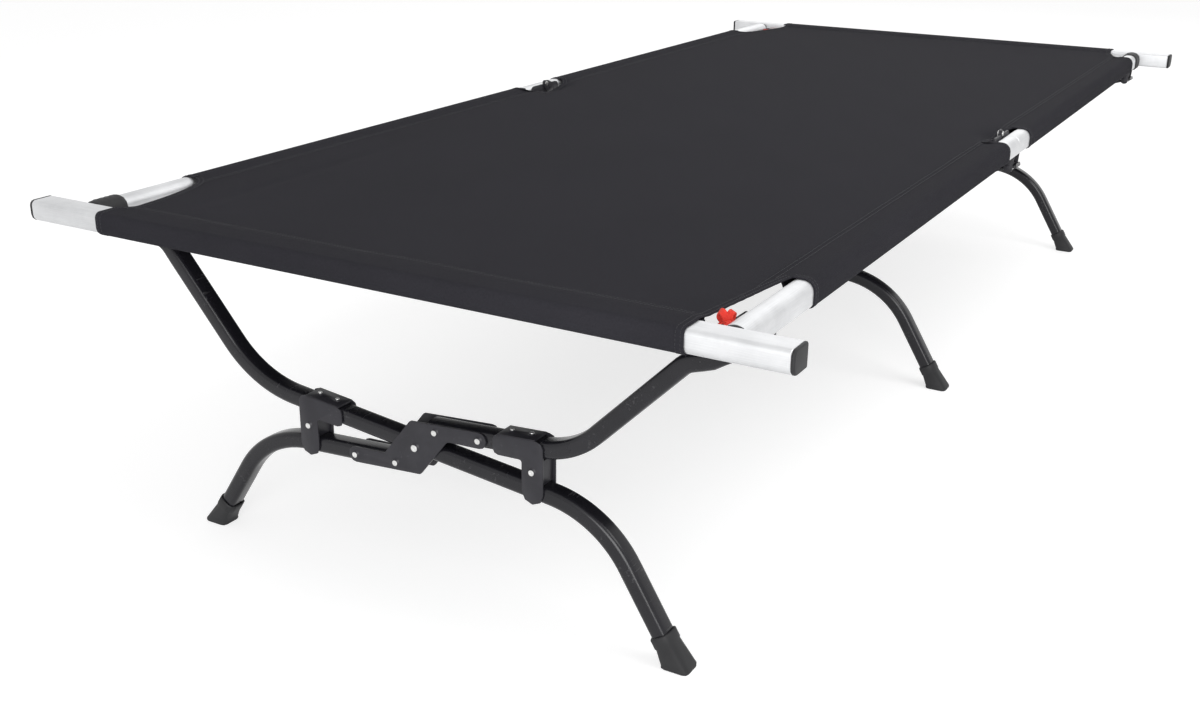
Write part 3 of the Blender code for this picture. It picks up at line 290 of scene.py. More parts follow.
def makeWebbing(look):
    # woven tape: plain weave of thick yarns on the strip's own coordinates; its colour is painted shade, dark
    # red in the gaps between yarns and light red on their crowns, with uneven yarn tone
    material, tree, shader = newMaterial("redWebbing", look)
    weave = useGroup(tree, weaveGroup, Yarn=look["yarn"])
    colourFrom(tree, shader, weave.outputs["PaintedShadeAndTone"], look["colours"])
    bumpFrom(tree, shader, weave.outputs["Height"], look["bump"])
    return material


threadLook = dict(
    rough=0.5, grain=(4200.0, 0.2), bump=(0.4, 0.0001),
    colours=[(0.3, (0.009, 0.009, 0.011)), (0.9, (0.028, 0.028, 0.032))],
)


def makeThread(look):
    material, tree, shader = newMaterial("blackThread", look)
    grain = useGroup(tree, grainGroup, Scale=look["grain"][0], Coarse=look["grain"][1])
    colourFrom(tree, shader, grain.outputs["Height"], look["colours"])
    bumpFrom(tree, shader, grain.outputs["Height"], look["bump"])
    return material


aluminiumLook = dict(
    rough=0.36, metal=1.0, lines=(2600.0, 18.0, 1.0), bump=(0.25, 0.00006), marks=(22.0, 0.62),
    roughSpan=(0.38, 0.56), streakGloss=0.25,
    colours=[(0.3, (0.54, 0.545, 0.555)), (0.7, (0.74, 0.745, 0.755))],
)


def makeAluminium(look):
    # drawn aluminium: fine lines along the tube, cloudy variation of gloss
    material, tree, shader = newMaterial("satinAluminium", look)
    mapping = tree.nodes.new("ShaderNodeMapping")
    mapping.inputs["Scale"].default_value = look["lines"]
    tree.links.new(tree.nodes.new("ShaderNodeTexCoord").outputs["UV"], mapping.inputs["Vector"])
    lines = noiseNode(tree, mapping.outputs["Vector"], 1.0, rough=0.6)
    marks = marksOf(tree, look)
    mixed = mixOf(tree, lines, 0.5, marks.outputs["Smudge"], 0.5)
    colourFrom(tree, shader, mixed, look["colours"])
    glossy = mathNode(tree, "MULTIPLY", marks.outputs["Streak"], look["streakGloss"])
    roughnessFrom(tree, shader, mathNode(tree, "SUBTRACT", mixed, glossy), look["roughSpan"])
    bumpFrom(tree, shader, lines, look["bump"])
    return material


# finishes with grain in the bump, and smudges and streaks, by their shares, in the colour and the gloss
grainyLooks = dict(
    blackPowderCoat=dict(                   # semi-gloss: orange peel, faint dust, rubbed streaks
        rough=0.28, specular=0.24, coat=(0.16, 0.16), grain=(520.0, 0.8), bump=(0.35, 0.00010),
        marks=(16.0, 0.64), shares=(0.5, 0.5), roughSpan=(0.20, 0.42),
        colours=[(0.2, (0.0080, 0.0078, 0.0100)), (0.5, (0.0130, 0.0126, 0.0158)),
                 (0.95, (0.040, 0.040, 0.042))]),
    greyBlackPlate=dict(
        rough=0.42, specular=0.28, grain=(1100.0, 0.6), bump=(0.4, 0.00012),
        marks=(40.0, 0.66), shares=(0.6, 0.25), roughSpan=(0.34, 0.52),
        colours=[(0.15, (0.016, 0.0155, 0.0190)), (0.5, (0.027, 0.0262, 0.0318)),
                 (0.95, (0.080, 0.080, 0.084))]),
    blackMoulding=dict(
        rough=0.55, specular=0.3, grain=(1500.0, 0.4), bump=(0.5, 0.00012),
        marks=(30.0, 0.66), shares=(1.0, 0.0), roughSpan=(0.48, 0.66),
        colours=[(0.2, (0.009, 0.009, 0.0100)), (0.8, (0.022, 0.022, 0.0235))]),
    zincPlatedSteel=dict(                   # its gloss follows the grain
        rough=0.3, metal=1.0, grain=(700.0, 0.9), bump=(0.2, 0.00005),
        marks=(120.0, 0.62), shares=(1.0, 0.0), grainSpan=(0.18, 0.36),
        colours=[(0.2, (0.55, 0.55, 0.54)), (0.8, (0.80, 0.80, 0.79))]),
)


def makeGrainy(name):
    look = grainyLooks[name]
    material, tree, shader = newMaterial(name, look)
    grain = useGroup(tree, grainGroup, Scale=look["grain"][0], Coarse=look["grain"][1])
    marks = marksOf(tree, look)
    smudgeShare, streakShare = look["shares"]
    mixed = mixOf(tree, marks.outputs["Smudge"], smudgeShare, marks.outputs["Streak"], streakShare)
    colourFrom(tree, shader, mixed, look["colours"])
    if "grainSpan" in look:
        roughnessFrom(tree, shader, grain.outputs["Height"], look["grainSpan"])
    else:
        roughnessFrom(tree, shader, mixed, look["roughSpan"])
    bumpFrom(tree, shader, grain.outputs["Height"], look["bump"])
    return material


slotLooks = dict(
    satin_aluminium=makeAluminium(aluminiumLook), black_powder_coat=makeGrainy("blackPowderCoat"),
    grey_black_plate=makeGrainy("greyBlackPlate"), black_moulding=makeGrainy("blackMoulding"),
    zinc_plated_steel=makeGrainy("zincPlatedSteel"), black_canvas=makeCanvasCloth(clothLook),
    red_webbing=makeWebbing(webbingLook),
)
blackThread = makeThread(threadLook)
print("materials made")


# mesh helpers


def gridFaces(rows, columns, ringRows=False, ringColumns=False):
    # quads between neighbours of a grid numbered row by row; a ring joins its last line to its first
    r = np.arange(rows if ringRows else rows - 1)[:, None]
    c = np.arange(columns if ringColumns else columns - 1)[None, :]
    rNext, cNext = (r + 1) % rows, (c + 1) % columns
    corners = [r * columns + c, r * columns + cNext, rNext * columns + cNext, rNext * columns + c]
    return np.stack(corners, axis=-1).reshape(-1, 4)


def tubeFaces(rows, columns, copies=1):
    # the sides and both end faces of a closed tube, and of its copies, numbered one after another
    starts = np.arange(copies)[:, None, None] * rows * columns
    sides = gridFaces(rows, columns, ringColumns=True)
    ring = np.arange(columns)
    return [(sides[None] + starts).reshape(-1, 4), ring[None, ::-1] + starts[:, 0],
            ring[None, :] + (rows - 1) * columns + starts[:, 0]]


def runAlong(points):
    # distance along a line of points: 0, then the sum of the steps so far
    return np.concatenate([[0], np.cumsum(np.linalg.norm(np.diff(points, axis=0), axis=1))])


def unit(vectors):
    return vectors / np.linalg.norm(vectors, axis=-1, keepdims=True)


def paired(across, along):
    # flat coordinates (across, along) on a whole grid
    return np.stack(np.broadcast_arrays(across, along), axis=-1)


def makeMesh(name, points, faceSets, flat=None):
    # points as one array, faces as arrays of equal-sided faces, flat as one (across, along) per point
    mesh = bpy.data.meshes.new(name)
    points = np.asarray(points, float).reshape(-1, 3)
    mesh.vertices.add(len(points))
    mesh.vertices.foreach_set("co", points.ravel())
    corners = np.concatenate([faces.ravel() for faces in faceSets]).astype(np.int32)
    counts = np.concatenate([np.full(len(faces), faces.shape[1]) for faces in faceSets]).astype(np.int32)
    mesh.loops.add(len(corners))
    mesh.loops.foreach_set("vertex_index", corners)
    mesh.polygons.add(len(counts))
    mesh.polygons.foreach_set("loop_start", np.concatenate([[0], np.cumsum(counts)[:-1]]).astype(np.int32))
    mesh.polygons.foreach_set("loop_total", counts)
    mesh.update(calc_edges=True)
    if flat is not None:
        layer = mesh.uv_layers.new(name="flat")
        layer.data.foreach_set("uv", np.asarray(flat, float).reshape(-1, 2)[corners].ravel())
    mesh.validate()
    return mesh


def joinMeshes(name, parts):
    # several point and face sets as one mesh: each set's numbers move up by the points before it
    points, faces, flats, start = [], [], [], 0
    for spots, faceSets, flat in parts:
        spots = np.asarray(spots, float).reshape(-1, 3)
        points.append(spots)
        faces += [faceSet + start for faceSet in faceSets]
        flats.append(np.asarray(flat, float).reshape(-1, 2))
        start += len(spots)
    return makeMesh(name, np.concatenate(points), faces, np.concatenate(flats))


def tidyMesh(mesh, merge=1e-6):
    # doubles merged and faces turned outwards
    shape = bmesh.new()
    shape.from_mesh(mesh)
    bmesh.ops.remove_doubles(shape, verts=shape.verts, dist=merge)
    bmesh.ops.recalc_face_normals(shape, faces=shape.faces)
    shape.to_mesh(mesh)
    shape.free()


def smoothMesh(mesh, angle):
    mesh.polygons.foreach_set("use_smooth", np.ones(len(mesh.polygons), bool))
    mesh.set_sharp_from_angle(angle=math.radians(angle))


def addPiece(name, mesh, body, slot, material=None, smooth=40, replaced=()):
    # an object that rides a body and stands for the nodes it replaces; edges past the angle smooth stay sharp
    mesh.materials.clear()
    mesh.materials.append(material or slotLooks[slot])
    smoothMesh(mesh, smooth)
    piece = bpy.data.objects.new(name, mesh)
    bpy.context.scene.collection.objects.link(piece)
    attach(piece, body)
    if replaced:
        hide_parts(*replaced)
    return piece


def bakeModifiers(piece):
    # the mesh with its modifiers becomes the piece's own mesh
    bpy.context.view_layer.update()
    graph = bpy.context.evaluated_depsgraph_get()
    shaped = bpy.data.meshes.new_from_object(piece.evaluated_get(graph))
    piece.modifiers.clear()
    old = piece.data
    piece.data = shaped
    bpy.data.meshes.remove(old)
    shaped.name = piece.name


def smoothStep(value):
    # 0 below 0, 1 above 1, and 3t^2 - 2t^3 between
    t = np.clip(value, 0, 1)
    return t * t * (3 - 2 * t)


def roundedCorners(corners, steps):
    # a closed outline: each corner (x, z, radius) becomes an arc between its tangent points
    spots = np.array([(x, z) for x, z, _ in corners], float)
    outline = []
    for k, (x, z, radius) in enumerate(corners):
        here, before, after = spots[k], spots[k - 1], spots[(k + 1) % len(corners)]
        into, away = unit(before - here), unit(after - here)
        half = math.acos(np.clip(into @ away, -1, 1)) / 2
        middle = here + unit(into + away) * radius / math.sin(half)
        reach = radius / math.tan(half)
        first, last = here + into * reach - middle, here + away * reach - middle
        angle = math.atan2(first[0] * last[1] - first[1] * last[0], first @ last)
        turn = np.linspace(0, angle, steps + 1)[:, None]
        outline.append(middle + first * np.cos(turn) + np.array([-first[1], first[0]]) * np.sin(turn))
    return np.concatenate(outline)


def railSection(side, grow=0.0, steps=8):
    # a square tube with a well-rounded top
    half, x, z = cot["railSize"] / 2 + grow, side * cot["railX"], cot["railZ"]
    high, low = cot["railRound"] + grow, cot["railLowRound"] + grow
    return roundedCorners([(x + half, z - half, low), (x + half, z + half, high),
                           (x - half, z + half, high), (x - half, z - half, low)], steps)


def barSection(end, grow=0.0, steps=6):
    # flat on top and inside, bulging outwards
    inner, outer = end * (cot["barFace"] - grow), end * (cot["barY"] + cot["barDepth"] / 2 + grow)
    low, high = cot["bedTop"] - cot["barHeight"] - grow, cot["bedTop"] + grow
    tight, bulge, shoulder = (radius + grow for radius in cot["barRounds"])
    return roundedCorners([(inner, low, tight), (outer, low, bulge),
                           (outer, high, shoulder), (inner, high, tight)], steps)


def extrudedTube(outer, inner, places, axis):
    # a section carried straight along an axis, outside with eased rims, then back inside
    ease = math.copysign(cot["rimEase"], places[1] - places[0])
    eased = outer + (inner - outer) * 0.4
    rims = [(eased, places[0]), (outer, places[0] + ease), (outer, places[1] - ease), (eased, places[1]),
            (inner, places[1]), (inner, places[0])]
    rings = []
    for section, place in rims:
        a, b = section[:, 0], section[:, 1]
        fixed = np.full(len(section), place)
        rings.append(np.stack([a, fixed, b] if axis == "Y" else [fixed, a, b], axis=-1))
    flat = paired(runAlong(outer), np.array([place for _, place in rims])[:, None])
    return np.concatenate(rings), [gridFaces(len(rims), len(outer), True, True)], flat


def turned(places, directions, radii, heights, profile, steps):
    # a profile of (share of the height, share of the radius) carried round an axis at each place
    directions = np.asarray(directions, float)
    helper = np.where(np.abs(directions[:, 2:3]) < 0.9, [[0.0, 0, 1]], [[1.0, 0, 0]])
    first = unit(np.cross(directions, helper))
    second = np.cross(directions, first)
    angle = np.linspace(0, 2 * math.pi, steps, endpoint=False)[:, None]
    ring = np.cos(angle) * first[:, None] + np.sin(angle) * second[:, None]
    profile, radii, heights = (np.asarray(values, float) for values in (profile, radii, heights))
    rise = profile[:, 0] * heights[:, None]
    reach = profile[:, 1] * radii[:, None]
    return (np.asarray(places, float)[:, None, None] + rise[:, :, None, None] * directions[:, None, None]
            + reach[:, :, None, None] * ring[:, None])


# the small metal and moulded parts keep their shape, with doubles merged, long edges eased and smooth shading


easedEdges = dict(width=0.00035, shoeWidth=0.0006, segments=2, angle=38, merge=2e-6, flatAngle=1.0)
smallParts = ("hub_plate", "saddle", "hanger", "hinge_front", "hinge_rear", "hinge_pin", "corner_fitting",
              "rail_plug", "pivot_arm", "shoe", "foot_bar_cap", "head_bar_cap")


def smoothCopy(node):
    mesh = nodes[node].data.copy()
    mesh.name = node + "_eased"
    shape = bmesh.new()
    shape.from_mesh(mesh)
    bmesh.ops.remove_doubles(shape, verts=shape.verts, dist=easedEdges["merge"])
    bmesh.ops.dissolve_limit(shape, angle_limit=math.radians(easedEdges["flatAngle"]), verts=shape.verts,
                             edges=shape.edges)
    shape.to_mesh(mesh)
    shape.free()
    piece = addPiece(node + "_eased", mesh, bodyOf[node], slotOf[node], smooth=easedEdges["angle"],
                     replaced=(node,))
    bevel = piece.modifiers.new("eased", "BEVEL")
    bevel.width = easedEdges["shoeWidth" if node.startswith("shoe") else "width"]
    bevel.segments = easedEdges["segments"]
    bevel.limit_method = "ANGLE"
    bevel.angle_limit = math.radians(easedEdges["angle"])
    bevel.use_clamp_overlap = True
    bakeModifiers(piece)
    smoothMesh(piece.data, easedEdges["angle"])


for node in sorted(nodes):
    if node.startswith(smallParts):
        smoothCopy(node)
print("small parts eased")


# rails and end bars: the drawn section carried along, hollow, with open rims


def drawnTube(node, section, inside, places, axis):
    mesh = makeMesh(node + "_drawn", *extrudedTube(section, inside, places, axis))
    tidyMesh(mesh)
    addPiece(node + "_drawn", mesh, bodyOf[node], "satin_aluminium", smooth=32, replaced=(node,))


halves = (("front", -1), ("rear", 1))
sides = (("left", -1), ("right", 1))
armPlaces = (("foot", 1, -1), ("head", -1, 1))
barOf = {-1: "foot_bar", 1: "head_bar"}
railEnd = cot["barFace"] - 2 * cot["gap"] - cot["capThick"]
for half, end in halves:
    for sideName, side in sides:
        drawnTube(f"rail_{half}_{sideName}", railSection(side), railSection(side, -cot["wall"]),
                  (end * cot["gap"], end * railEnd), "Y")
barEnd = cot["barLength"] / 2 - cot["capThick"] - cot["gap"]
for end, node in barOf.items():
    drawnTube(node, barSection(end), barSection(end, -cot["wall"]), (-barEnd, barEnd), "X")
print("rails and end bars drawn")


# legs: a rounded section carried along straight runs and true bends, crushed flat at the rail end


leg = dict(
    height=0.022, depth=0.025, corner=0.0062,
    girth=0.09,                             # round the section, for the flat coordinates
    flatThick=0.006, flatDepth=0.030, tipPast=0.012, flatRun=0.036, swellRun=0.034,
    flareSlope=math.radians(17), flareBend=0.030,
    sSlope=math.radians(6.4), sUpperCorner=0.2602, sLowerCorner=0.2544,
    sUpperSlope=math.radians(49.8), sLowerSlope=math.radians(58.5), upperBend=0.155, lowerBend=0.140,
    halfSlope=math.radians(3.6), halfOffset=0.027, rivetInner=0.0305, halfInnerEnd=0.018,
    halfUpperCorner=0.2157, halfUpperBend=0.115, halfUpperSlope=math.radians(45),
    halfLowerCorner=0.2503, halfLowerSlope=math.radians(56.5),
    footEndZ=0.014, eyeRadius=0.0066, eyeBore=0.0037, eyeEase=0.0006, boreEase=0.0004, eyeShort=0.0004,
    eyeSteps=28, straightStep=0.012, bendStep=math.radians(2.5), cornerSteps=6,
    # the crushed end: its corner as a share of its thickness, and its depth at the tip and what it gains
    flatCorner=0.42, tipRound=0.004, tipLeast=0.05, tipDepth=(0.8, 0.2),
)


def straightRun(start, stop, heading):
    # evenly spaced points (x, z, heading), without the last one
    steps = max(2, int(np.linalg.norm(stop - start) / leg["straightStep"]))
    share = np.linspace(0, 1, steps + 1)[:-1, None]
    return np.column_stack([start + (stop - start) * share, np.full(steps, heading)])


def bentLine(corners):
    # straight runs between corners (x, z, radius), each corner an arc of its radius; gives x, z and heading
    spots = np.array([(x, z) for x, z, _ in corners], float)
    ahead = unit(np.diff(spots, axis=0))
    headings = np.arctan2(ahead[:, 1], ahead[:, 0])
    runs, place = [], spots[0]
    for k in range(1, len(corners) - 1):
        first, radius = headings[k - 1], corners[k][2]
        turn = (headings[k] - first + math.pi) % (2 * math.pi) - math.pi
        until = spots[k] - ahead[k - 1] * radius * math.tan(abs(turn) / 2)
        runs.append(straightRun(place, until, first))
        swing = math.copysign(radius, turn)
        middle = until + np.array([-ahead[k - 1, 1], ahead[k - 1, 0]]) * swing
        angle = first + turn * np.linspace(0, 1, max(3, int(abs(turn) / leg["bendStep"])) + 1)
        arc = middle + swing * np.column_stack([np.sin(angle), -np.cos(angle)])
        runs.append(np.column_stack([arc, angle])[:-1])
        place = arc[-1]
    runs += [straightRun(place, spots[-1], headings[-1]), np.array([[*spots[-1], headings[-1]]])]
    return np.concatenate(runs)


def sweptTube(line, y, height, depth, corner):
    # at each station a rounded rectangle, depth across the bed's length and height square to the line
    count = leg["cornerSteps"]
    quarter = np.linspace(0, math.pi / 2, count)
    angle = np.concatenate([quarter + k * math.pi / 2 for k in range(4)])
    signA = np.repeat([1, -1, -1, 1], count)
    signB = np.repeat([1, 1, -1, -1], count)
    h, d, r = (np.broadcast_to(value, len(line))[:, None] for value in (height, depth, corner))
    a = signA * (d / 2 - r) + r * np.cos(angle)
    b = signB * (h / 2 - r) + r * np.sin(angle)
    x = line[:, :1] - np.sin(line[:, 2:3]) * b
    z = line[:, 1:2] + np.cos(line[:, 2:3]) * b
    flat = paired(np.linspace(0, leg["girth"], 4 * count), runAlong(line[:, :2])[:, None])
    return np.stack([x, y + a, z], axis=-1), tubeFaces(len(line), 4 * count), flat


def crushedSizes(line):
    # height and depth by distance from the tip: flat for a run, then swelling to the full tube
    distance = runAlong(line[:, :2])
    swell = smoothStep((distance - leg["flatRun"]) / leg["swellRun"])
    tip = np.sqrt(np.clip(distance / leg["tipRound"], leg["tipLeast"], 1))
    flatCorner, (tipShare, gain) = leg["flatThick"] * leg["flatCorner"], leg["tipDepth"]
    height = leg["flatThick"] + (leg["height"] - leg["flatThick"]) * swell
    depth = (leg["flatDepth"] + (leg["depth"] - leg["flatDepth"]) * swell) * (tipShare + gain * tip)
    return height, depth, flatCorner + (leg["corner"] - flatCorner) * swell


def sLine(x):
    # the S leg's middle stretch: a straight line down through the hub
    return cot["hubZ"] - math.tan(leg["sSlope"]) * x


def halfLine(x):
    # the half legs' inner stretches: above the hub on the right, below it on the left
    past = abs(x) - leg["rivetInner"]
    return cot["hubZ"] + math.copysign(leg["halfOffset"] + math.tan(leg["halfSlope"]) * past, x)


def armLine(side, corner, bend, slope, inner):
    # the flared end under the rail, the steep stretch, the upper bend and the run to the hub; the flare's
    # corner is where the line through the pivot meets the steep one
    rise, run = math.tan(slope), math.tan(leg["flareSlope"])
    x, z = abs(corner[0]), corner[1]
    flareX = (cot["pivotZ"] - run * cot["pivotX"] - z + rise * x) / (rise - run)
    tip = (side * (cot["pivotX"] + leg["tipPast"]), cot["pivotZ"] + leg["tipPast"] * run)
    flare = (side * flareX, z + rise * (flareX - x), leg["flareBend"])
    return [(*tip, 0), flare, (side * x, z, bend), (*inner, 0)]


def footLine(corner, slope):
    # the lower bend and the steep stretch down into the shoe
    xEnd = abs(corner[0]) + (corner[1] - leg["footEndZ"]) / math.tan(slope)
    return [(*corner, leg["lowerBend"]), (math.copysign(xEnd, corner[0]), leg["footEndZ"], 0)]


def eyePart(side, y):
    # the rolled eye round the hanger's pin, a ring with a bore
    half, ease = leg["flatDepth"] / 2 - leg["eyeShort"], leg["eyeEase"]
    outer, bore, boreEase = leg["eyeRadius"], leg["eyeBore"], leg["boreEase"]
    right = [(half - ease, outer), (half, outer - ease), (half, bore + boreEase), (half - boreEase, bore)]
    profile = right + [(-a, b) for a, b in right[::-1]]
    place = (side * cot["pivotX"], y, cot["pivotZ"])
    points = turned([place], [(0, 1, 0)], [1], [1], profile, leg["eyeSteps"]).reshape(-1, 3)
    return points, [gridFaces(len(profile), leg["eyeSteps"], ringRows=True, ringColumns=True)], points[:, :2]


def addLeg(node, parts):
    mesh = joinMeshes(node + "_bent", parts)
    tidyMesh(mesh)
    addPiece(node + "_bent", mesh, bodyOf[node], "black_powder_coat", replaced=(node,))


def onLine(line, x):
    return x, line(x)


def hungLeg(node, side, y, corners):
    line = bentLine(corners)
    addLeg(node, [sweptTube(line, y, *crushedSizes(line)), eyePart(side, y)])


sArm = armLine(-1, onLine(sLine, -leg["sUpperCorner"]), leg["upperBend"], leg["sUpperSlope"],
               onLine(sLine, 0))[:-1]
sFoot = footLine(onLine(sLine, leg["sLowerCorner"]), leg["sLowerSlope"])
halfArm = armLine(1, onLine(halfLine, leg["halfUpperCorner"]), leg["halfUpperBend"], leg["halfUpperSlope"],
                  onLine(halfLine, leg["halfInnerEnd"]))
halfFoot = [(*onLine(halfLine, -leg["halfInnerEnd"]), 0),
            *footLine(onLine(halfLine, -leg["halfLowerCorner"]), leg["halfLowerSlope"])]
for label, y in cot["legPlaces"].items():
    hungLeg(f"s_leg_{label}", -1, y, sArm + sFoot)
    hungLeg(f"upper_leg_{label}", 1, y, halfArm)
    tube = sweptTube(bentLine(halfFoot), y, leg["height"], leg["depth"], leg["corner"])
    addLeg(f"lower_leg_{label}", [tube])
print("legs bent")


# bright rivet heads over every riveted joint


rivets = dict(
    height=0.0031, steps=20, sunk=0.0002,
    profile=[(0.55, 0.600), (0.83, 0.600), (0.91, 0.575), (0.97, 0.500), (1.0, 0.380), (1.0, 0.250),
             (0.975, 0.205), (0.94, 0.180), (0.94, 0.050)],
    hub=0.0062, hubMiddle=0.0075, saddleTop=0.0047, hinge=0.0057, arm=0.0071,       # radii of the heads
)


def rivetHeads(name, body, spots):
    # each spot is (place, direction, radius): one domed profile with a dimple, scaled and turned to each
    places, directions, radii = zip(*spots)
    heights = np.full(len(spots), rivets["height"])
    points = turned(places, directions, radii, heights, rivets["profile"], rivets["steps"])
    faces = tubeFaces(len(rivets["profile"]), rivets["steps"], len(spots))
    mesh = makeMesh(name, points, faces, points[..., [0, 2]])
    tidyMesh(mesh, merge=1e-7)
    addPiece(name, mesh, body, "zinc_plated_steel", smooth=30)


hub = dict(
    plateThick=0.0025, innerX=leg["rivetInner"], outerX=0.0935, saddleX=0.168, saddleThick=0.0022,
    saddleTops=(-0.0365, -0.009),           # the rivets on a saddle's top, from the ones on its sides
)
hinge = dict(leafThick=0.0025, rivetY=0.032, rivetDrop=0.0015)
arm = dict(thick=0.004, clear=0.003, rivetIn=0.074, rivetDrop=0.003)
plateOut = leg["depth"] / 2 + cot["gap"] + hub["plateThick"]
saddleOut = leg["depth"] / 2 + cot["gap"] + hub["saddleThick"] - rivets["sunk"]
saddleTop = leg["height"] / 2 + cot["gap"] + hub["saddleThick"] - rivets["sunk"]
for label, y in cot["legPlaces"].items():
    own = {-1: [], 1: []}
    for side, above, below in ((-1, sLine, halfLine), (1, halfLine, sLine)):
        x = side * hub["saddleX"]
        middle = (above(x) + below(x)) / 2
        own[side] += [((x, y + s * saddleOut, middle), (0, s, 0), rivets["hub"]) for s in (-1, 1)]
        for past in hub["saddleTops"]:
            x = side * (hub["saddleX"] + past)
            own[side].append(((x, y, above(x) + saddleTop), (0, 0, 1), rivets["saddleTop"]))
    places = [side * x for side in (-1, 1) for x in (hub["innerX"], hub["outerX"])]
    heads = [(x, halfLine(x), rivets["hub"]) for x in places] + [(0, cot["hubZ"], rivets["hubMiddle"])]
    spots = []
    for x, z, radius in heads:
        spots.append(((x, y - plateOut, z), (0, -1, 0), radius))
        spots.append(((x, y + plateOut + cot["gap"], z), (0, 1, 0), radius))
    rivetHeads(f"saddle_rivets_left_{label}", f"s_leg_{label}", own[-1])
    rivetHeads(f"hub_rivets_{label}", f"half_legs_{label}", spots + own[1])
for half, end in halves:
    for sideName, side in sides:
        at = side * (cot["railInside"] - cot["gap"] - hinge["leafThick"] + rivets["sunk"])
        place = (at, end * hinge["rivetY"], cot["railZ"] - hinge["rivetDrop"])
        rivetHeads(f"hinge_rivets_{half}_{sideName}", bodyOf[f"hinge_{half}_{sideName}"],
                   [(place, (-side, 0, 0), rivets["hinge"])])
for name, side, end in armPlaces:
    at = side * (cot["railInside"] - arm["clear"] - arm["thick"] + rivets["sunk"])
    place = (at, end * (cot["barFace"] - arm["rivetIn"]), cot["railZ"] - arm["rivetDrop"])
    rivetHeads(f"arm_rivet_{name}", bodyOf[f"pivot_arm_{name}"], [(place, (-side, 0, 0), rivets["arm"])])
print("rivets set")


# the canvas: a taut sheet with a sleeve on each rail and end bar, in a front and a rear half


cloth = dict(
    lift=0.0014, thick=0.0007,              # outer face above the metal, and the cloth's thickness
    seamIn=0.0265,                          # seam line from a rail's crown towards the middle
    seamDrop=0.0030, middleDrop=0.0042,     # the sheet below the crowns, at the seams and in the middle
    levelOut=0.16,                          # distance over which the middle comes up to the end bars
    barRise=0.026, barOver=0.002, railOver=0.003, tubeOff=0.002,
    # the notch beside each hinge, its half length with and without its slanting end
    notchHalf=0.064, notchStraight=0.050, notchIn=0.0095, notchEase=0.0022, notchEnd=0.001,
    # how far a sleeve reaches along its bar on each side, by (end, side)
    barReach={(-1, -1): 0.398, (-1, 1): 0.405, (1, -1): 0.383, (1, 1): 0.395},
    # where each cut-away starts on the rail, where it meets the bar, and how hollow it is
    cornerCuts={(-1, -1): (0.884, 0.388, 1.0), (-1, 1): (0.874, 0.404, 0.4),
                (1, -1): (0.879, 0.374, 0.8), (1, 1): (0.960, 0.395, 0.6)},
    hingeDip=(0.0135, 0.0070),              # slack beside the left and the right hinge
    barSeam=0.016, tail=0.011, flap=0.030, flapStop=0.0008, flapGap=0.0003, smooth=60,
    # under the rails and bars: where the sleeve comes back to past the seam, and its last two heights
    railBack=0.0030, railLow=(0.004, 0.005), barBack=0.001, barLow=(0.005, 0.006),
    drawIn=(0.9995, 0.9985),                # the flap's and the tail's width, just inside the cut-away
    sheetColumns=121, sheetRows=230, sleeveRows=200, pocketColumns=119, pocketSpan=0.41, curveSteps=20,
    faceReach=0.3, faceDrop=0.0012,         # the part of the top that tells which way the faces look
    foldedApart=0.333,                      # between the rails' middles when the legs are folded
)
crownX = cot["railX"] - cloth["tubeOff"]    # where the sheet leaves a rail's top
seamX = crownX - cloth["seamIn"]
topZ = cot["bedTop"] + cloth["lift"]
reachOut = cot["railInside"] + cloth["railOver"]
edgeY = cot["barFace"] + cloth["barOver"]
notchX = cot["railInside"] - cloth["notchIn"]
barSeamY = cot["barFace"] - cloth["barSeam"]

# small unevenness of the sheet: lengths in metres, the waves as (height, x share, y share, length, phase)
ripples = dict(
    height=0.00022, railAt=0.030, railWidth=0.012, railPitch=0.0145, barWidth=0.010, barPitch=0.016,
    longWaves=[(1, 0.06, 0.23, 0.8), (0.2, 1, 1.35, 0.0)], longHeight=0.00045,
    waves=[(0.00030, 1, -0.35, 0.31), (0.00018, 1, 1, 0.17)],
    railWander=(2.1, 23), barWander=(1.7, 31),       # the puckers' uneven pitch: turn in radians, per metre
    # a long tension line in the front half, near the left rail: depth, place, slant, width, fading ends
    tension=0.0011, tensionX=-0.335, tensionSlant=0.03, tensionY=-0.7, tensionWidth=0.012,
    tensionFar=(-1.03, 0.12), tensionNear=(-0.40, 0.3),
    dipAt=0.414, dipWidth=0.022, dipLength=0.046,
)


def wave(x, y, length, phase=0.0):
    return np.sin(2 * math.pi * (x + y) / length + phase)


def bell(value, width):
    # e to the minus square of value over width
    return np.exp(-(value / width) ** 2)


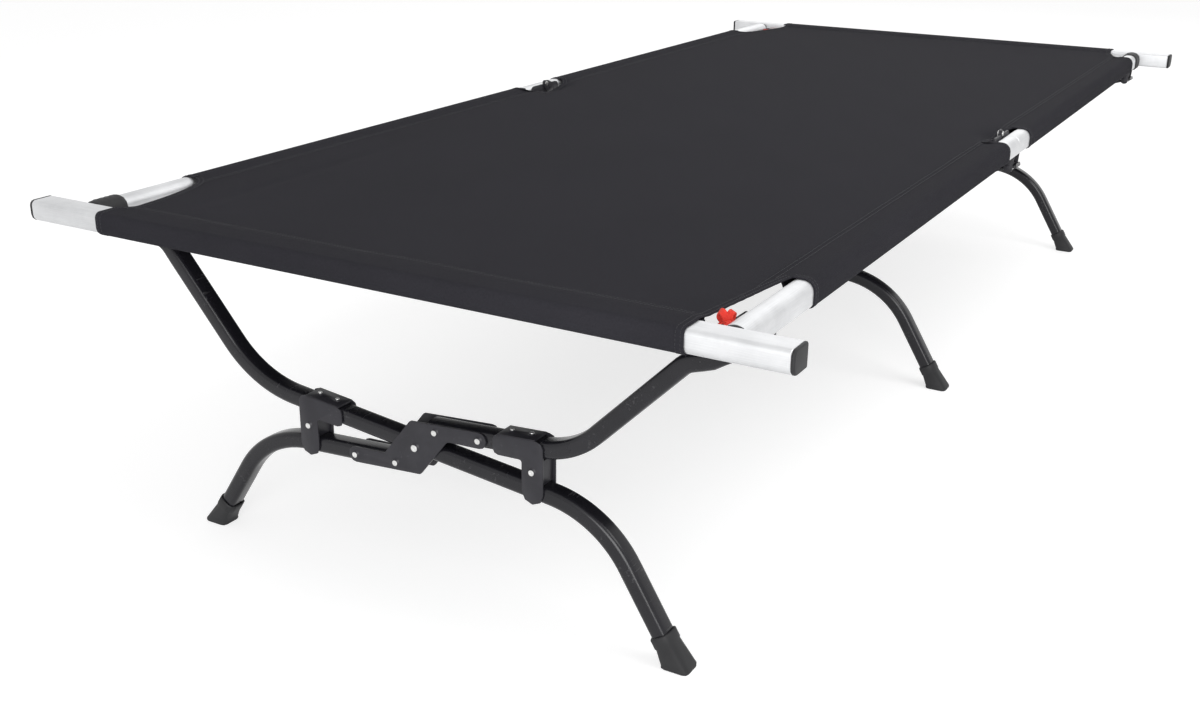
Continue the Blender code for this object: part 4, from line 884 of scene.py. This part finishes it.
def sheetZ(x, y):
    # height of the sheet's top: level with the crowns at the rails and end bars, down by a step at the
    # seams, then by a shallow bow in the middle, with small puckers and the odd long tension line
    x, y = np.asarray(x, float), np.asarray(y, float)
    fromRail, fromBar = crownX - np.abs(x), edgeY - np.abs(y)
    inside = smoothStep(fromRail / cloth["seamIn"]) * smoothStep(fromBar / cloth["barRise"])
    bow = np.clip(1 - (x / seamX) ** 2, 0, 1) * (1 - np.exp(-np.clip(fromBar, 0, 2) / cloth["levelOut"]))
    z = topZ - cloth["seamDrop"] * inside - cloth["middleDrop"] * bow
    (railTurn, railRate), (barTurn, barRate) = ripples["railWander"], ripples["barWander"]
    railPucker = wave(0, y, ripples["railPitch"], railTurn * np.sin(y * railRate))
    barPucker = wave(x, 0, ripples["barPitch"], barTurn * np.sin(x * barRate))
    pucker = (bell(fromRail - ripples["railAt"], ripples["railWidth"]) * railPucker
              + bell(fromBar - cloth["barRise"], ripples["barWidth"]) * barPucker)
    product = 1.0
    for xShare, yShare, length, phase in ripples["longWaves"]:
        product = product * wave(xShare * x, yShare * y, length, phase)
    waves = ripples["longHeight"] * product
    for height, xShare, yShare, length in ripples["waves"]:
        waves = waves + height * wave(xShare * x, yShare * y, length)
    (far, farFade), (near, nearFade) = ripples["tensionFar"], ripples["tensionNear"]
    fromLine = x - ripples["tensionX"] + ripples["tensionSlant"] * (y - ripples["tensionY"])
    line = (bell(fromLine, ripples["tensionWidth"])
            * smoothStep((y - far) / farFade) * smoothStep((near - y) / nearFade))
    dip = bell(np.abs(x) - ripples["dipAt"], ripples["dipWidth"]) * bell(y, ripples["dipLength"])
    slack = np.where(x < 0, *cloth["hingeDip"]) * dip
    return z + inside * (ripples["height"] * pucker + waves - ripples["tension"] * line - slack)


def cornerCurve(side, end, share):
    # the cut-away's edge, from the rail's inner side (share 0) to the cloth's edge at the end bar (share 1)
    start, edge, hollow = cloth["cornerCuts"][end, side]
    turn = np.asarray(share, float) * math.pi / 2
    return (side * (reachOut - (reachOut - edge) * np.sin(turn) ** (2 - hollow)),
            end * (edgeY + (start - edgeY) * np.cos(turn) ** (2 - hollow)))


def cutY(side, end, x):
    # where the cloth ends along the bed, at a distance x from the middle line: the same curve solved for y
    start, edge, hollow = cloth["cornerCuts"][end, side]
    share = np.clip((reachOut - x) / (reachOut - edge), 0, 1) ** (1 / (2 - hollow))
    y = edgeY + (start - edgeY) * np.sqrt(np.clip(1 - share ** 2, 0, 1)) ** (2 - hollow)
    return np.where(x <= edge, cot["barFace"], np.minimum(y, cot["barFace"]))


def foldY(x):
    # where the cloth starts from the fold line: at it, or behind the notch at each hinge
    rise = smoothStep((x - notchX + cloth["notchEase"]) / cloth["notchEase"]) * cloth["notchStraight"]
    slope = np.clip((x - notchX) / (cloth["notchIn"] - cloth["notchEnd"]), 0, 1)
    return rise + slope * (cloth["notchHalf"] - cloth["notchStraight"])


def rowShares(count):
    # closer rows near both ends
    even = np.linspace(0, 1, count)
    return 0.55 * even + 0.45 * (0.5 - 0.5 * np.cos(math.pi * even))


def spacedValues(values, low, high, least=0.0004):
    # sorted values between two limits, both limits kept and near doubles dropped
    values = np.unique(np.concatenate([values, [low, high]]))
    values = values[(values >= low) & (values <= high)]
    kept = values[np.concatenate([[True], np.diff(values) > least])]
    kept[-1] = high
    return kept


def faceUp(mesh, reach):
    # all faces are turned alike by the ones of the sheet's top, which have to look up
    count = len(mesh.polygons)
    up, middle = np.zeros(count * 3), np.zeros(count * 3)
    mesh.polygons.foreach_get("normal", up)
    mesh.polygons.foreach_get("center", middle)
    up, middle = up.reshape(-1, 3), middle.reshape(-1, 3)
    top = (np.abs(middle[:, 0]) < reach) & (np.abs(middle[:, 1]) < cot["barFace"])
    if up[top & (middle[:, 2] > topZ - cloth["faceDrop"]), 2].sum() < 0:
        mesh.flip_normals()


def clothPiece(name, body, x, y, z, flat, topReach, replaced=()):
    # a grid of the cloth's outer face, given its thickness towards the inside
    mesh = joinMeshes(name, [(np.stack([x, y, z], axis=-1), [gridFaces(*x.shape)], flat)])
    tidyMesh(mesh, merge=1e-7)
    faceUp(mesh, topReach)
    piece = addPiece(name, mesh, body, "black_canvas", smooth=cloth["smooth"], replaced=replaced)
    wall = piece.modifiers.new("wall", "SOLIDIFY")
    wall.thickness = cloth["thick"]
    wall.offset = -1
    bakeModifiers(piece)
    smoothMesh(piece.data, cloth["smooth"])
    return piece


def sheetPiece(name, end, body, replaced):
    # one grid between the seam lines, from the fold to the seam beside the end bar's sleeve
    curves = [cornerCurve(side, end, np.linspace(0, 1, cloth["curveSteps"]))[0] for side in (-1, 1)]
    even = np.linspace(-seamX, seamX, cloth["sheetColumns"])
    columns = spacedValues(np.concatenate([even, *curves]), -seamX, seamX)
    away = np.abs(columns)
    stop = np.minimum(np.where(columns < 0, cutY(-1, end, away), cutY(1, end, away)), barSeamY)
    y = end * stop * rowShares(cloth["sheetRows"])[:, None]
    x = np.broadcast_to(columns, y.shape)
    return clothPiece(name, body, x, y, sheetZ(x, y), paired(x, y), cloth["faceReach"], replaced)


def roundBar(end):
    # a sleeve's section (y, z) over an end bar: its top, its outer side and below
    section = barSection(end, cloth["lift"], 7).reshape(4, 8, 2)
    return np.concatenate([section[2][::-1], section[1][::-1], section[0][::-1]])


def roundRail():
    # a sleeve's section (x, z) from a rail's crown down its outer side and under it
    section = railSection(1, cloth["lift"], 8).reshape(4, 9, 2)
    return np.concatenate([section[1][::-1], section[0][::-1], section[3][::-1]])


def barSleeve(name, end, body):
    # a flap under the sheet, up to the seam, on over the end bar, round its front and back below to the seam
    around = roundBar(end)
    flap = end * (barSeamY - np.array([cloth["flap"], cloth["flap"] / 2, cloth["flapStop"]]))
    over = np.linspace(end * barSeamY, end * cot["barFace"], 5)
    back = end * (barSeamY + np.array([cloth["barBack"], -cloth["tail"]]))
    yPath = np.concatenate([flap, over, around[:, 0], back])
    known = len(flap) + len(over)
    zPath = np.concatenate([np.full(known, topZ), around[:, 1], topZ - np.array(cloth["barLow"])])
    low, high = -cloth["barReach"][end, -1], cloth["barReach"][end, 1]
    even = np.linspace(-cloth["pocketSpan"], cloth["pocketSpan"], cloth["pocketColumns"])
    x, y = np.meshgrid(spacedValues(even, low, high), yPath)
    # beyond the cloth's edge at the cut-away the flap and the part before the bar draw in under the bar
    left, right = (cloth["cornerCuts"][end, side][1] for side in (-1, 1))
    share = np.where(x < 0, left / -low, right / high)
    x[:known - 1] *= share[:known - 1] * cloth["drawIn"][0]
    x[-2:] *= share[-2:] * cloth["drawIn"][1]
    z = np.repeat(zPath[:, None], x.shape[1], axis=1)
    z[:known] = sheetZ(x[:known], y[:known])
    z[:len(flap)] -= cloth["thick"] + cloth["flapGap"]
    z[-2:] = sheetZ(x[-2:], y[-2:]) - 2 * (cloth["thick"] + cloth["flapGap"])
    run = runAlong(np.column_stack([yPath, zPath]))
    flat = paired(x, end * (barSeamY - cloth["flap"] + run[:, None]))
    return clothPiece(name, body, x, y, z, flat, cloth["faceReach"])


def railSleeve(name, side, end, body):
    # from the sheet's seam over the rail's crown, round the rail and back to the seam below
    around = roundRail()
    curve = np.abs(cornerCurve(side, end, np.linspace(0, 1, cloth["curveSteps"]))[0])
    ease = cloth["notchEase"]
    known = np.array([notchX - ease, notchX - ease / 2, notchX, cot["railInside"] - cloth["notchEnd"]])
    curve = curve[(curve > seamX) & (curve < crownX)]
    across = spacedValues(np.concatenate([curve, np.linspace(seamX, crownX, 10), known]), seamX, crownX)
    count = len(across)
    xPath = np.concatenate([across, around[:, 0],
                            seamX + cloth["railBack"] - np.array([0, cloth["tail"]])])
    zPath = np.concatenate([np.full(count, topZ), around[:, 1], topZ - np.array(cloth["railLow"])])
    start, stop = foldY(xPath), cutY(side, end, xPath)
    start[count:], stop[count:] = cloth["notchHalf"], cloth["cornerCuts"][end, side][0]
    y = end * (start + (stop - start) * rowShares(cloth["sleeveRows"])[:, None])
    x = np.broadcast_to(side * xPath, y.shape)
    z = np.repeat(zPath[None, :], len(y), axis=0)
    z[:, :count] = sheetZ(x[:, :count], y[:, :count])
    z[:, -2:] = sheetZ(x[:, -2:], y[:, -2:]) - cloth["thick"] - cloth["flapGap"]
    flat = paired(side * (seamX + runAlong(np.column_stack([xPath, zPath]))), y)
    return clothPiece(name, body, x, y, z, flat, crownX - 0.003)


# hems and stitching: a band and rows of beads carried along paths on the cloth


hem = dict(
    wide=0.0110, rise=0.00030, under=0.0013,
    # rows of stitches from a hem's edge, from a rail's seam and from an end bar's face
    rows=(0.0030, 0.0085), railRows=(0.0012, -0.0048), barRows=(0.0135, 0.0195),
    rowLift=0.0001, rowStart=0.004, railRowEnd=0.012, sheetRowEnd=0.016, barRowEnd=0.014,
    beadLength=0.0030, beadPitch=0.0043, beadRadius=0.00028, beadSides=6, beadAim=0.0005,
    beadRings=[(-0.5, 0.25, -0.5), (-0.34, 0.85, 0.1), (0.34, 0.85, 0.1), (0.5, 0.25, -0.5)],
    # the hems' paths round the tubes: where they start and end, and how far below the top they end
    barStart=(0.0005, 0.006), barEnd=0.012, railEnd=0.004, low=0.0052,
    cutSteps=44, cutCrowd=0.9, rowPoints=300, barRowPoints=200, smooth=50,
)
hem["profile"] = [(0.0040, -hem["under"]), (0.0003, -hem["under"]), (-0.0005, -hem["under"] * 0.55),
                  (-0.0005, 0.0001), (0.0004, hem["rise"]), (hem["wide"] - 0.0009, hem["rise"]),
                  (hem["wide"], 0.00005), (hem["wide"] - 0.0009, -0.0002), (0.0040, -0.0004)]


def intoCloth(path, up, inward):
    # square to a path and to the cloth's face, on the side that inward points to
    into = unit(np.cross(unit(np.gradient(path, axis=0)), up))
    return into if into[len(path) // 2] @ np.asarray(inward, float) >= 0 else -into


def bandAlong(path, up, inward):
    # the hem's closed profile, (into the cloth, above it), carried along a path
    into = intoCloth(path, up, inward)[:, None]
    profile = np.array(hem["profile"])
    points = path[:, None] + profile[None, :, :1] * into + profile[None, :, 1:] * up[:, None]
    return points, tubeFaces(len(path), len(profile)), paired(runAlong(profile), runAlong(path)[:, None])


def beadsAlong(path, up):
    # small spindle-shaped stitches at an even pitch along a path: each a few rings, as (along, radius, rise)
    run = runAlong(path)
    spots = np.arange(hem["beadPitch"] / 2, run[-1], hem["beadPitch"])

    def between(values, places):
        return np.stack([np.interp(places, run, values[:, k]) for k in range(3)], axis=-1)

    at, rise = between(path, spots), between(up, spots)
    along = unit(between(path, spots + hem["beadAim"]) - between(path, spots - hem["beadAim"]))
    across = unit(np.cross(along, rise))
    angle = np.linspace(0, 2 * math.pi, hem["beadSides"], endpoint=False)[:, None]
    ring = np.cos(angle) * across[:, None] + np.sin(angle) * rise[:, None]
    rings = np.array(hem["beadRings"])[None, :, None]
    points = (at[:, None, None] + rings[..., :1] * hem["beadLength"] * along[:, None, None]
              + rings[..., 1:2] * hem["beadRadius"] * ring[:, None]
              + rings[..., 2:] * hem["beadRadius"] * rise[:, None, None])
    count = len(hem["beadRings"]) * hem["beadSides"]
    flat = np.repeat(spots[:, None], count, 0) * [[1, 0]]
    return points, tubeFaces(len(hem["beadRings"]), hem["beadSides"], len(spots)), flat


def rowsAlong(path, up, inward):
    # the rows of stitches of a hem, on top of it
    into = intoCloth(path, up, inward)
    return [beadsAlong(path + row * into + hem["rise"] * up, up) for row in hem["rows"]]


def onSheet(x, y, lift=0.0):
    path = np.stack([x, y, sheetZ(x, y) + lift], axis=-1)
    return path, np.tile([0.0, 0, 1], (len(path), 1))


def rowAcross(x, y):
    # a row of stitches straight over the sheet
    return beadsAlong(*onSheet(x, y, hem["rowLift"]))


def rowBeside(side, end, offset, stopShort):
    # a row of stitches beside a rail's seam, from the fold to the cut-away
    x = side * (seamX + offset)
    last, count = float(cutY(side, end, abs(x))) - stopShort, hem["rowPoints"]
    return rowAcross(np.full(count, x), end * np.linspace(hem["rowStart"], last, count))


def cutPath(side, end):
    # along the cut-away, from just inside the rail's crown to the end bar
    return onSheet(*cornerCurve(side, end, np.linspace(0, 1, hem["cutSteps"]) ** hem["cutCrowd"]))


def wrapPath(places, heights):
    # a path round a tube without its doubles: its places, its heights and its outward direction
    keep = np.concatenate([[True], np.hypot(np.diff(places), np.diff(heights)) > 1e-6])
    places, heights = places[keep], heights[keep]
    along = np.gradient(np.stack([places, heights], axis=-1), axis=0)
    return places, heights, unit(np.stack([-along[:, 1], along[:, 0]], axis=-1))


def sleeveEndPath(side, y, first):
    # round a rail at a fixed place along the bed, from the sheet beside it to the seam below
    around = roundRail()
    lead, last = np.linspace(first, crownX, 5)[:-1], seamX + hem["railEnd"]
    x, z, out = wrapPath(np.concatenate([lead, around[:, 0], [last]]),
                         np.concatenate([np.full(4, topZ), around[:, 1], [topZ - hem["low"]]]))
    still = np.zeros(len(x))
    path = np.stack([side * x, still + y, z], axis=-1)
    return path, np.stack([side * out[:, 0], still, out[:, 1]], axis=-1)


def barEndPath(side, end):
    # round the end bar at the sleeve's end, from the sheet to the seam below
    around = roundBar(end)
    start = cot["barFace"] + np.array(hem["barStart"])
    y, z, out = wrapPath(np.concatenate([start, end * around[:, 0], [cot["barFace"] - hem["barEnd"]]]),
                         np.concatenate([[topZ, topZ], around[:, 1], [topZ - hem["low"]]]))
    still = np.zeros(len(y))
    x = side * cloth["barReach"][end, side]
    path = np.stack([still + x, end * y, z], axis=-1)
    return path, np.stack([still, end * out[:, 0], out[:, 1]], axis=-1)


def notchPath(side, end):
    # along the notch's edge beside a hinge as (past its inner side, from the fold line), then round the rail
    bend = np.array([(0, 0.0008), (0, 0.012), (0, 0.025), (0, 0.038), (0.0001, 0.046),
                     (0.0008, 0.0508), (0.0033, 0.0548), (0.0062, 0.0598), (0.0085, 0.0632)])
    lead, leadUp = onSheet(side * (notchX + bend[:, 0]), end * bend[:, 1])
    wrap, wrapUp = sleeveEndPath(side, end * cloth["notchHalf"], cot["railInside"])
    return np.concatenate([lead, wrap]), np.concatenate([leadUp, wrapUp])


def trimPiece(name, parts, body, material=None):
    mesh = joinMeshes(name, parts)
    tidyMesh(mesh, merge=1e-8)
    return addPiece(name, mesh, body, "black_canvas", material=material, smooth=hem["smooth"])


canvasPieces = {}
for half, end in halves:
    body, barBody = f"left_{half}", barOf[end]
    sheet = sheetPiece(f"canvas_sheet_{half}", end, body, (f"canvas_{half}",))
    pocket = barSleeve(f"canvas_pocket_{half}", end, barBody)
    bands, beads, barBands, barBeads = [], [], [], []
    for side in (-1, 1):
        path, up = cutPath(side, end)
        bands.append(bandAlong(path, up, (-side, -end, 0)))
        beads += rowsAlong(path, up, (-side, -end, 0))
        path, up = barEndPath(side, end)
        barBands.append(bandAlong(path, up, (-side, 0, 0)))
        barBeads += rowsAlong(path, up, (-side, 0, 0))
        beads.append(rowBeside(side, end, hem["railRows"][1], hem["sheetRowEnd"]))
    low, high = (side * (cloth["cornerCuts"][end, side][1] - hem["barRowEnd"]) for side in (-1, 1))
    x = np.linspace(low, high, hem["barRowPoints"])
    for row, rows in zip(hem["barRows"], (barBeads, beads)):
        rows.append(rowAcross(x, np.full(len(x), end * (cot["barFace"] - row))))
    canvasPieces[half] = [sheet, trimPiece(f"canvas_hems_{half}", bands, body),
                          trimPiece(f"canvas_stitches_{half}", beads, body, blackThread)]
    canvasPieces[half + "_pocket"] = [pocket, trimPiece(f"pocket_hems_{half}", barBands, barBody),
                                      trimPiece(f"pocket_stitches_{half}", barBeads, barBody, blackThread)]
    for piece in canvasPieces[half] + canvasPieces[half + "_pocket"]:
        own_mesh(piece)
    for sideName, side in sides:
        label, body = f"{half}_{sideName}", f"{sideName}_{half}"
        sleeve = railSleeve(f"canvas_sleeve_{label}", side, end, body)
        outer, outerUp = sleeveEndPath(side, end * cloth["cornerCuts"][end, side][0], reachOut)
        inner, innerUp = notchPath(side, end)
        bands = [bandAlong(outer, outerUp, (0, -end, 0)), bandAlong(inner, innerUp, (0, end, 0))]
        beads = rowsAlong(outer, outerUp, (0, -end, 0)) + rowsAlong(inner, innerUp, (0, end, 0))
        beads.append(rowBeside(side, end, hem["railRows"][0], hem["railRowEnd"]))
        canvasPieces[label] = [sleeve, trimPiece(f"sleeve_hems_{label}", bands, body),
                               trimPiece(f"sleeve_stitches_{label}", beads, body, blackThread)]
print("canvas made")


# red webbing loops, knotted through the slots of the pivot arms


webbing = dict(
    width=0.0105, thick=0.0013, slotY=1.0311, slotZ=0.442, nearX=0.4245, steps=60, hang=-0.8, smooth=55,
    knot=(0.0018, -0.0145, 0.0060),
)
# each strip's width share, whether it starts at the knot, its points and its facing at each; a point is
# (inward from the arm, along from the slot, height from the slot)
strips = dict(
    ring=(1.0, False,
          [(-0.0022, 0, -0.001), (-0.0026, -0.002, 0.004), (0.0000, -0.009, 0.0075), (0.0045, -0.009, 0.0070),
           (0.0066, -0.002, 0.0042), (0.0062, 0, -0.001), (0.0020, 0, -0.0062), (-0.0022, 0, -0.001)],
          [(-1, 0, 0), (-1, 0, 0.2), (-0.4, 0.4, 1), (0.6, 0.4, 0.8),
           (1, 0, 0), (1, 0, -0.3), (0.1, 0, -1), (-1, 0, 0)]),
    leftLoop=(0.72, True,
              [(0, 0, 0), (0.0025, 0.002, 0.007), (0.0060, 0.002, 0.0122), (0.0105, 0.000, 0.0105),
               (0.0095, -0.002, 0.0035), (0.0020, -0.002, -0.0005)],
              [(-0.6, 0.9, 0.3), (-0.7, 0.8, 0.3), (-0.2, 0.8, 0.9), (1, 0.2, 0.6),
               (0.7, -0.8, -0.5), (0.6, -0.8, -0.5)]),
    rightLoop=(0.72, True,
               [(0, 0, 0), (0.0002, -0.0020, 0.007), (-0.0008, -0.0060, 0.0112), (-0.0005, -0.0110, 0.0090),
                (0.0010, -0.0090, 0.0025), (0.0010, -0.0030, -0.001)],
               [(-0.2, 0.9, 0.4), (-0.2, 0.9, 0.3), (-0.3, 0.5, 1), (-0.3, -1, 0.4),
                (0.4, -0.9, -0.6), (0.4, -0.9, -0.5)]),
    longTail=(0.80, True,
              [(0, 0, 0), (0.0050, 0.0040, -0.0010), (0.0085, 0.0065, -0.0060), (0.0095, 0.0075, -0.0125)],
              [(-0.3, 0.8, 0.6), (-0.1, 0.8, 0.7), (0.2, 1, 0.3), (-0.1, 1, 0.1)]),
    shortTail=(0.80, True,
               [(0, 0, 0), (0.0025, -0.0010, -0.0040), (0.0035, -0.0020, -0.0090),
                (0.0040, -0.0020, -0.0145)],
               [(-0.5, 0.8, 0.5), (-0.4, 0.9, 0.3), (-0.4, 0.9, 0.1), (-0.6, 0.8, 0)]),
    wrap=(0.60, True,
          [(0.0052, 0.0030, 0.0015), (0.0000, 0.0052, 0.0000), (-0.0042, 0.0015, -0.0015),
           (-0.0030, -0.0040, 0.0000), (0.0030, -0.0048, 0.0015), (0.0065, -0.0010, 0.0020),
           (0.0045, 0.0040, 0.0005)],
          [(0.7, 0.8, 0.1), (0, 1, 0.2), (-1, 0.3, 0.2), (-0.6, -1, 0.1),
           (0.5, -1, 0.1), (1, 0, 0.2), (0.6, 0.9, 0.1)]),
)


def smoothLine(points, count):
    # a Catmull-Rom curve through points, evenly shared between them: half of 2b + (c - a)t
    # + (2a - 5b + 4c - d)t^2 + (3b - a - 3c + d)t^3, between b and c of each four
    points = np.asarray(points, float)
    padded = np.concatenate([[2 * points[0] - points[1]], points, [2 * points[-1] - points[-2]]])
    share = np.linspace(0, len(points) - 1 - 1e-9, count)
    k = share.astype(int)
    t = (share - k)[:, None]
    a, b, c, d = (padded[k + i] for i in range(4))
    cubic = (3 * b - a - 3 * c + d) * t ** 3
    return 0.5 * (2 * b + (c - a) * t + (2 * a - 5 * b + 4 * c - d) * t ** 2 + cubic)


def ribbonParts(points, faces, width):
    # a strip with rounded edges along a curve; faces gives the strip's facing at each point
    line, facing = smoothLine(points, webbing["steps"]), smoothLine(faces, webbing["steps"])
    along = unit(np.gradient(line, axis=0))
    facing = unit(facing - (facing * along).sum(axis=1, keepdims=True) * along)
    across = np.cross(along, facing)
    w, t = width / 2, webbing["thick"] / 2
    right = [(w - t, -t), (w - t * 0.3, -t * 0.7), (w, 0), (w - t * 0.3, t * 0.7), (w - t, t)]
    outline = np.array([(t - w, -t)] + right + [(-a, b) for a, b in right[:0:-1]])
    points = line[:, None] + outline[None, :, :1] * across[:, None] + outline[None, :, 1:] * facing[:, None]
    return points, tubeFaces(len(line), len(outline)), paired(outline[:, 0], runAlong(line)[:, None])


def loopParts(side, end):
    # every strip, mirrored to its arm; the head end's loop hangs
    flip = np.array([-side, end, 1 if end < 0 else webbing["hang"]])
    slot = np.array([side * webbing["nearX"], end * webbing["slotY"], webbing["slotZ"]])
    for share, knotted, points, faces in strips.values():
        points = np.array(points) + (webbing["knot"] if knotted else (0, 0, 0))
        yield ribbonParts(points * flip + slot, np.array(faces) * flip, webbing["width"] * share)


for name, side, end in armPlaces:
    mesh = joinMeshes(f"pull_loop_{name}", loopParts(side, end))
    tidyMesh(mesh, merge=1e-7)
    addPiece(f"pull_loop_{name}", mesh, f"{name}_arm", "red_webbing", smooth=webbing["smooth"],
             replaced=(f"pull_strap_{name}",))
print("webbing made")


# the cloth pieces are taken out of canvasPieces, half by half and sleeve by sleeve; nothing more is done with
# them here


for half, end in halves:
    sheet, *extras = canvasPieces[half]
    pocket, *extras = canvasPieces[half + "_pocket"]
    for sideName, side in sides:
        sleeve, *extras = canvasPieces[f"{half}_{sideName}"]


# stage, lamps and camera


stage = dict(
    size=60.0, worldFill=0.52,
    # the floor's colour to the light, then to the camera
    floor=dict(rough=0.9, specular=0.1, glow=0.68, colours=[(0.0, (0.9, 0.9, 0.9)), (1.0, (0.5, 0.5, 0.5))]),
    lamps=[("keyLamp", (2.2, -0.6, 3.0), (0.3, -0.2, 0.4), 2.2, 55),      # name, place, target, size, watts
           ("frontLamp", (1.8, -4.6, 1.3), (0.1, -0.9, 0.35), 2.6, 150),
           ("backLamp", (-0.6, 4.4, 2.8), (0, 0.4, 0.4), 3.0, 22)],
)


def makeBackdrop(look):
    # white to the camera and to mirrors, a plain pale surface to all other light, so the shadow stays
    material, tree, shader = newMaterial("whiteFloor", look)
    rays = tree.nodes.new("ShaderNodeLightPath")
    seen = mathNode(tree, "ADD", rays.outputs["Is Camera Ray"], rays.outputs["Is Glossy Ray"], clamp=True)
    colourFrom(tree, shader, seen, look["colours"])
    shader.inputs["Emission Color"].default_value = (1, 1, 1, 1)
    tree.links.new(mathNode(tree, "MULTIPLY", seen, look["glow"]), shader.inputs["Emission Strength"])
    return material


def linked(name, data):
    holder = bpy.data.objects.new(name, data)
    bpy.context.scene.collection.objects.link(holder)
    return holder


edge = stage["size"] / 2
floorMesh = makeMesh("floorSheet", [(-edge, -edge, 0), (edge, -edge, 0), (edge, edge, 0), (-edge, edge, 0)],
                     [np.array([[0, 1, 2, 3]])])
floorMesh.materials.append(makeBackdrop(stage["floor"]))
linked("floorSheet", floorMesh)

world = bpy.context.scene.world or bpy.data.worlds.new("world")
bpy.context.scene.world = world
world.use_nodes = True
tree = world.node_tree
tree.nodes.clear()
rays = tree.nodes.new("ShaderNodeLightPath").outputs
seen = mathNode(tree, "ADD", mathNode(tree, "ADD", rays["Is Camera Ray"], rays["Is Glossy Ray"]),
                rays["Is Transmission Ray"], clamp=True)
strength = mathNode(tree, "ADD", mathNode(tree, "MULTIPLY", seen, 1 - stage["worldFill"]), stage["worldFill"])
sky = tree.nodes.new("ShaderNodeBackground")
sky.inputs["Color"].default_value = (1, 1, 1, 1)
tree.links.new(strength, sky.inputs["Strength"])
tree.links.new(sky.outputs["Background"], tree.nodes.new("ShaderNodeOutputWorld").inputs["Surface"])


def lookAt(place, target):
    # turns a lamp so that its -Z axis points at a target
    direction = mathutils.Vector(target) - mathutils.Vector(place)
    return direction.to_track_quat("-Z", "Y").to_euler()


for name, place, target, size, power in stage["lamps"]:
    lamp = bpy.data.lights.new(name, "AREA")
    lamp.shape = "SQUARE"
    lamp.size, lamp.energy = size, power
    holder = linked(name, lamp)
    holder.location, holder.rotation_euler = place, lookAt(place, target)

# the camera's place, and its turns in radians: from +Y towards -X, downwards, and about its own axis
view = dict(place=(0.94644, -2.19326, 0.90115), lens=41.336, sensor=36,
            yaw=0.51702, pitch=0.36096, roll=0.01079)
yaw, pitch, roll = view["yaw"], view["pitch"], view["roll"]
forward = np.array([-math.sin(yaw) * math.cos(pitch), math.cos(yaw) * math.cos(pitch), -math.sin(pitch)])
level = np.array([math.cos(yaw), math.sin(yaw), 0.0])
above = np.cross(level, forward)
right = level * math.cos(roll) + above * math.sin(roll)
upward = above * math.cos(roll) - level * math.sin(roll)
camera = bpy.data.cameras.new("mainView")
camera.lens, camera.sensor_width = view["lens"], view["sensor"]
cameraHolder = linked("mainView", camera)
rows = np.column_stack([right, upward, -forward, view["place"]])
cameraHolder.matrix_world = mathutils.Matrix([*rows.tolist(), [0, 0, 0, 1]])
bpy.context.scene.camera = cameraHolder
bpy.context.scene.view_settings.view_transform = "Standard"
print("stage, lamps and camera set")
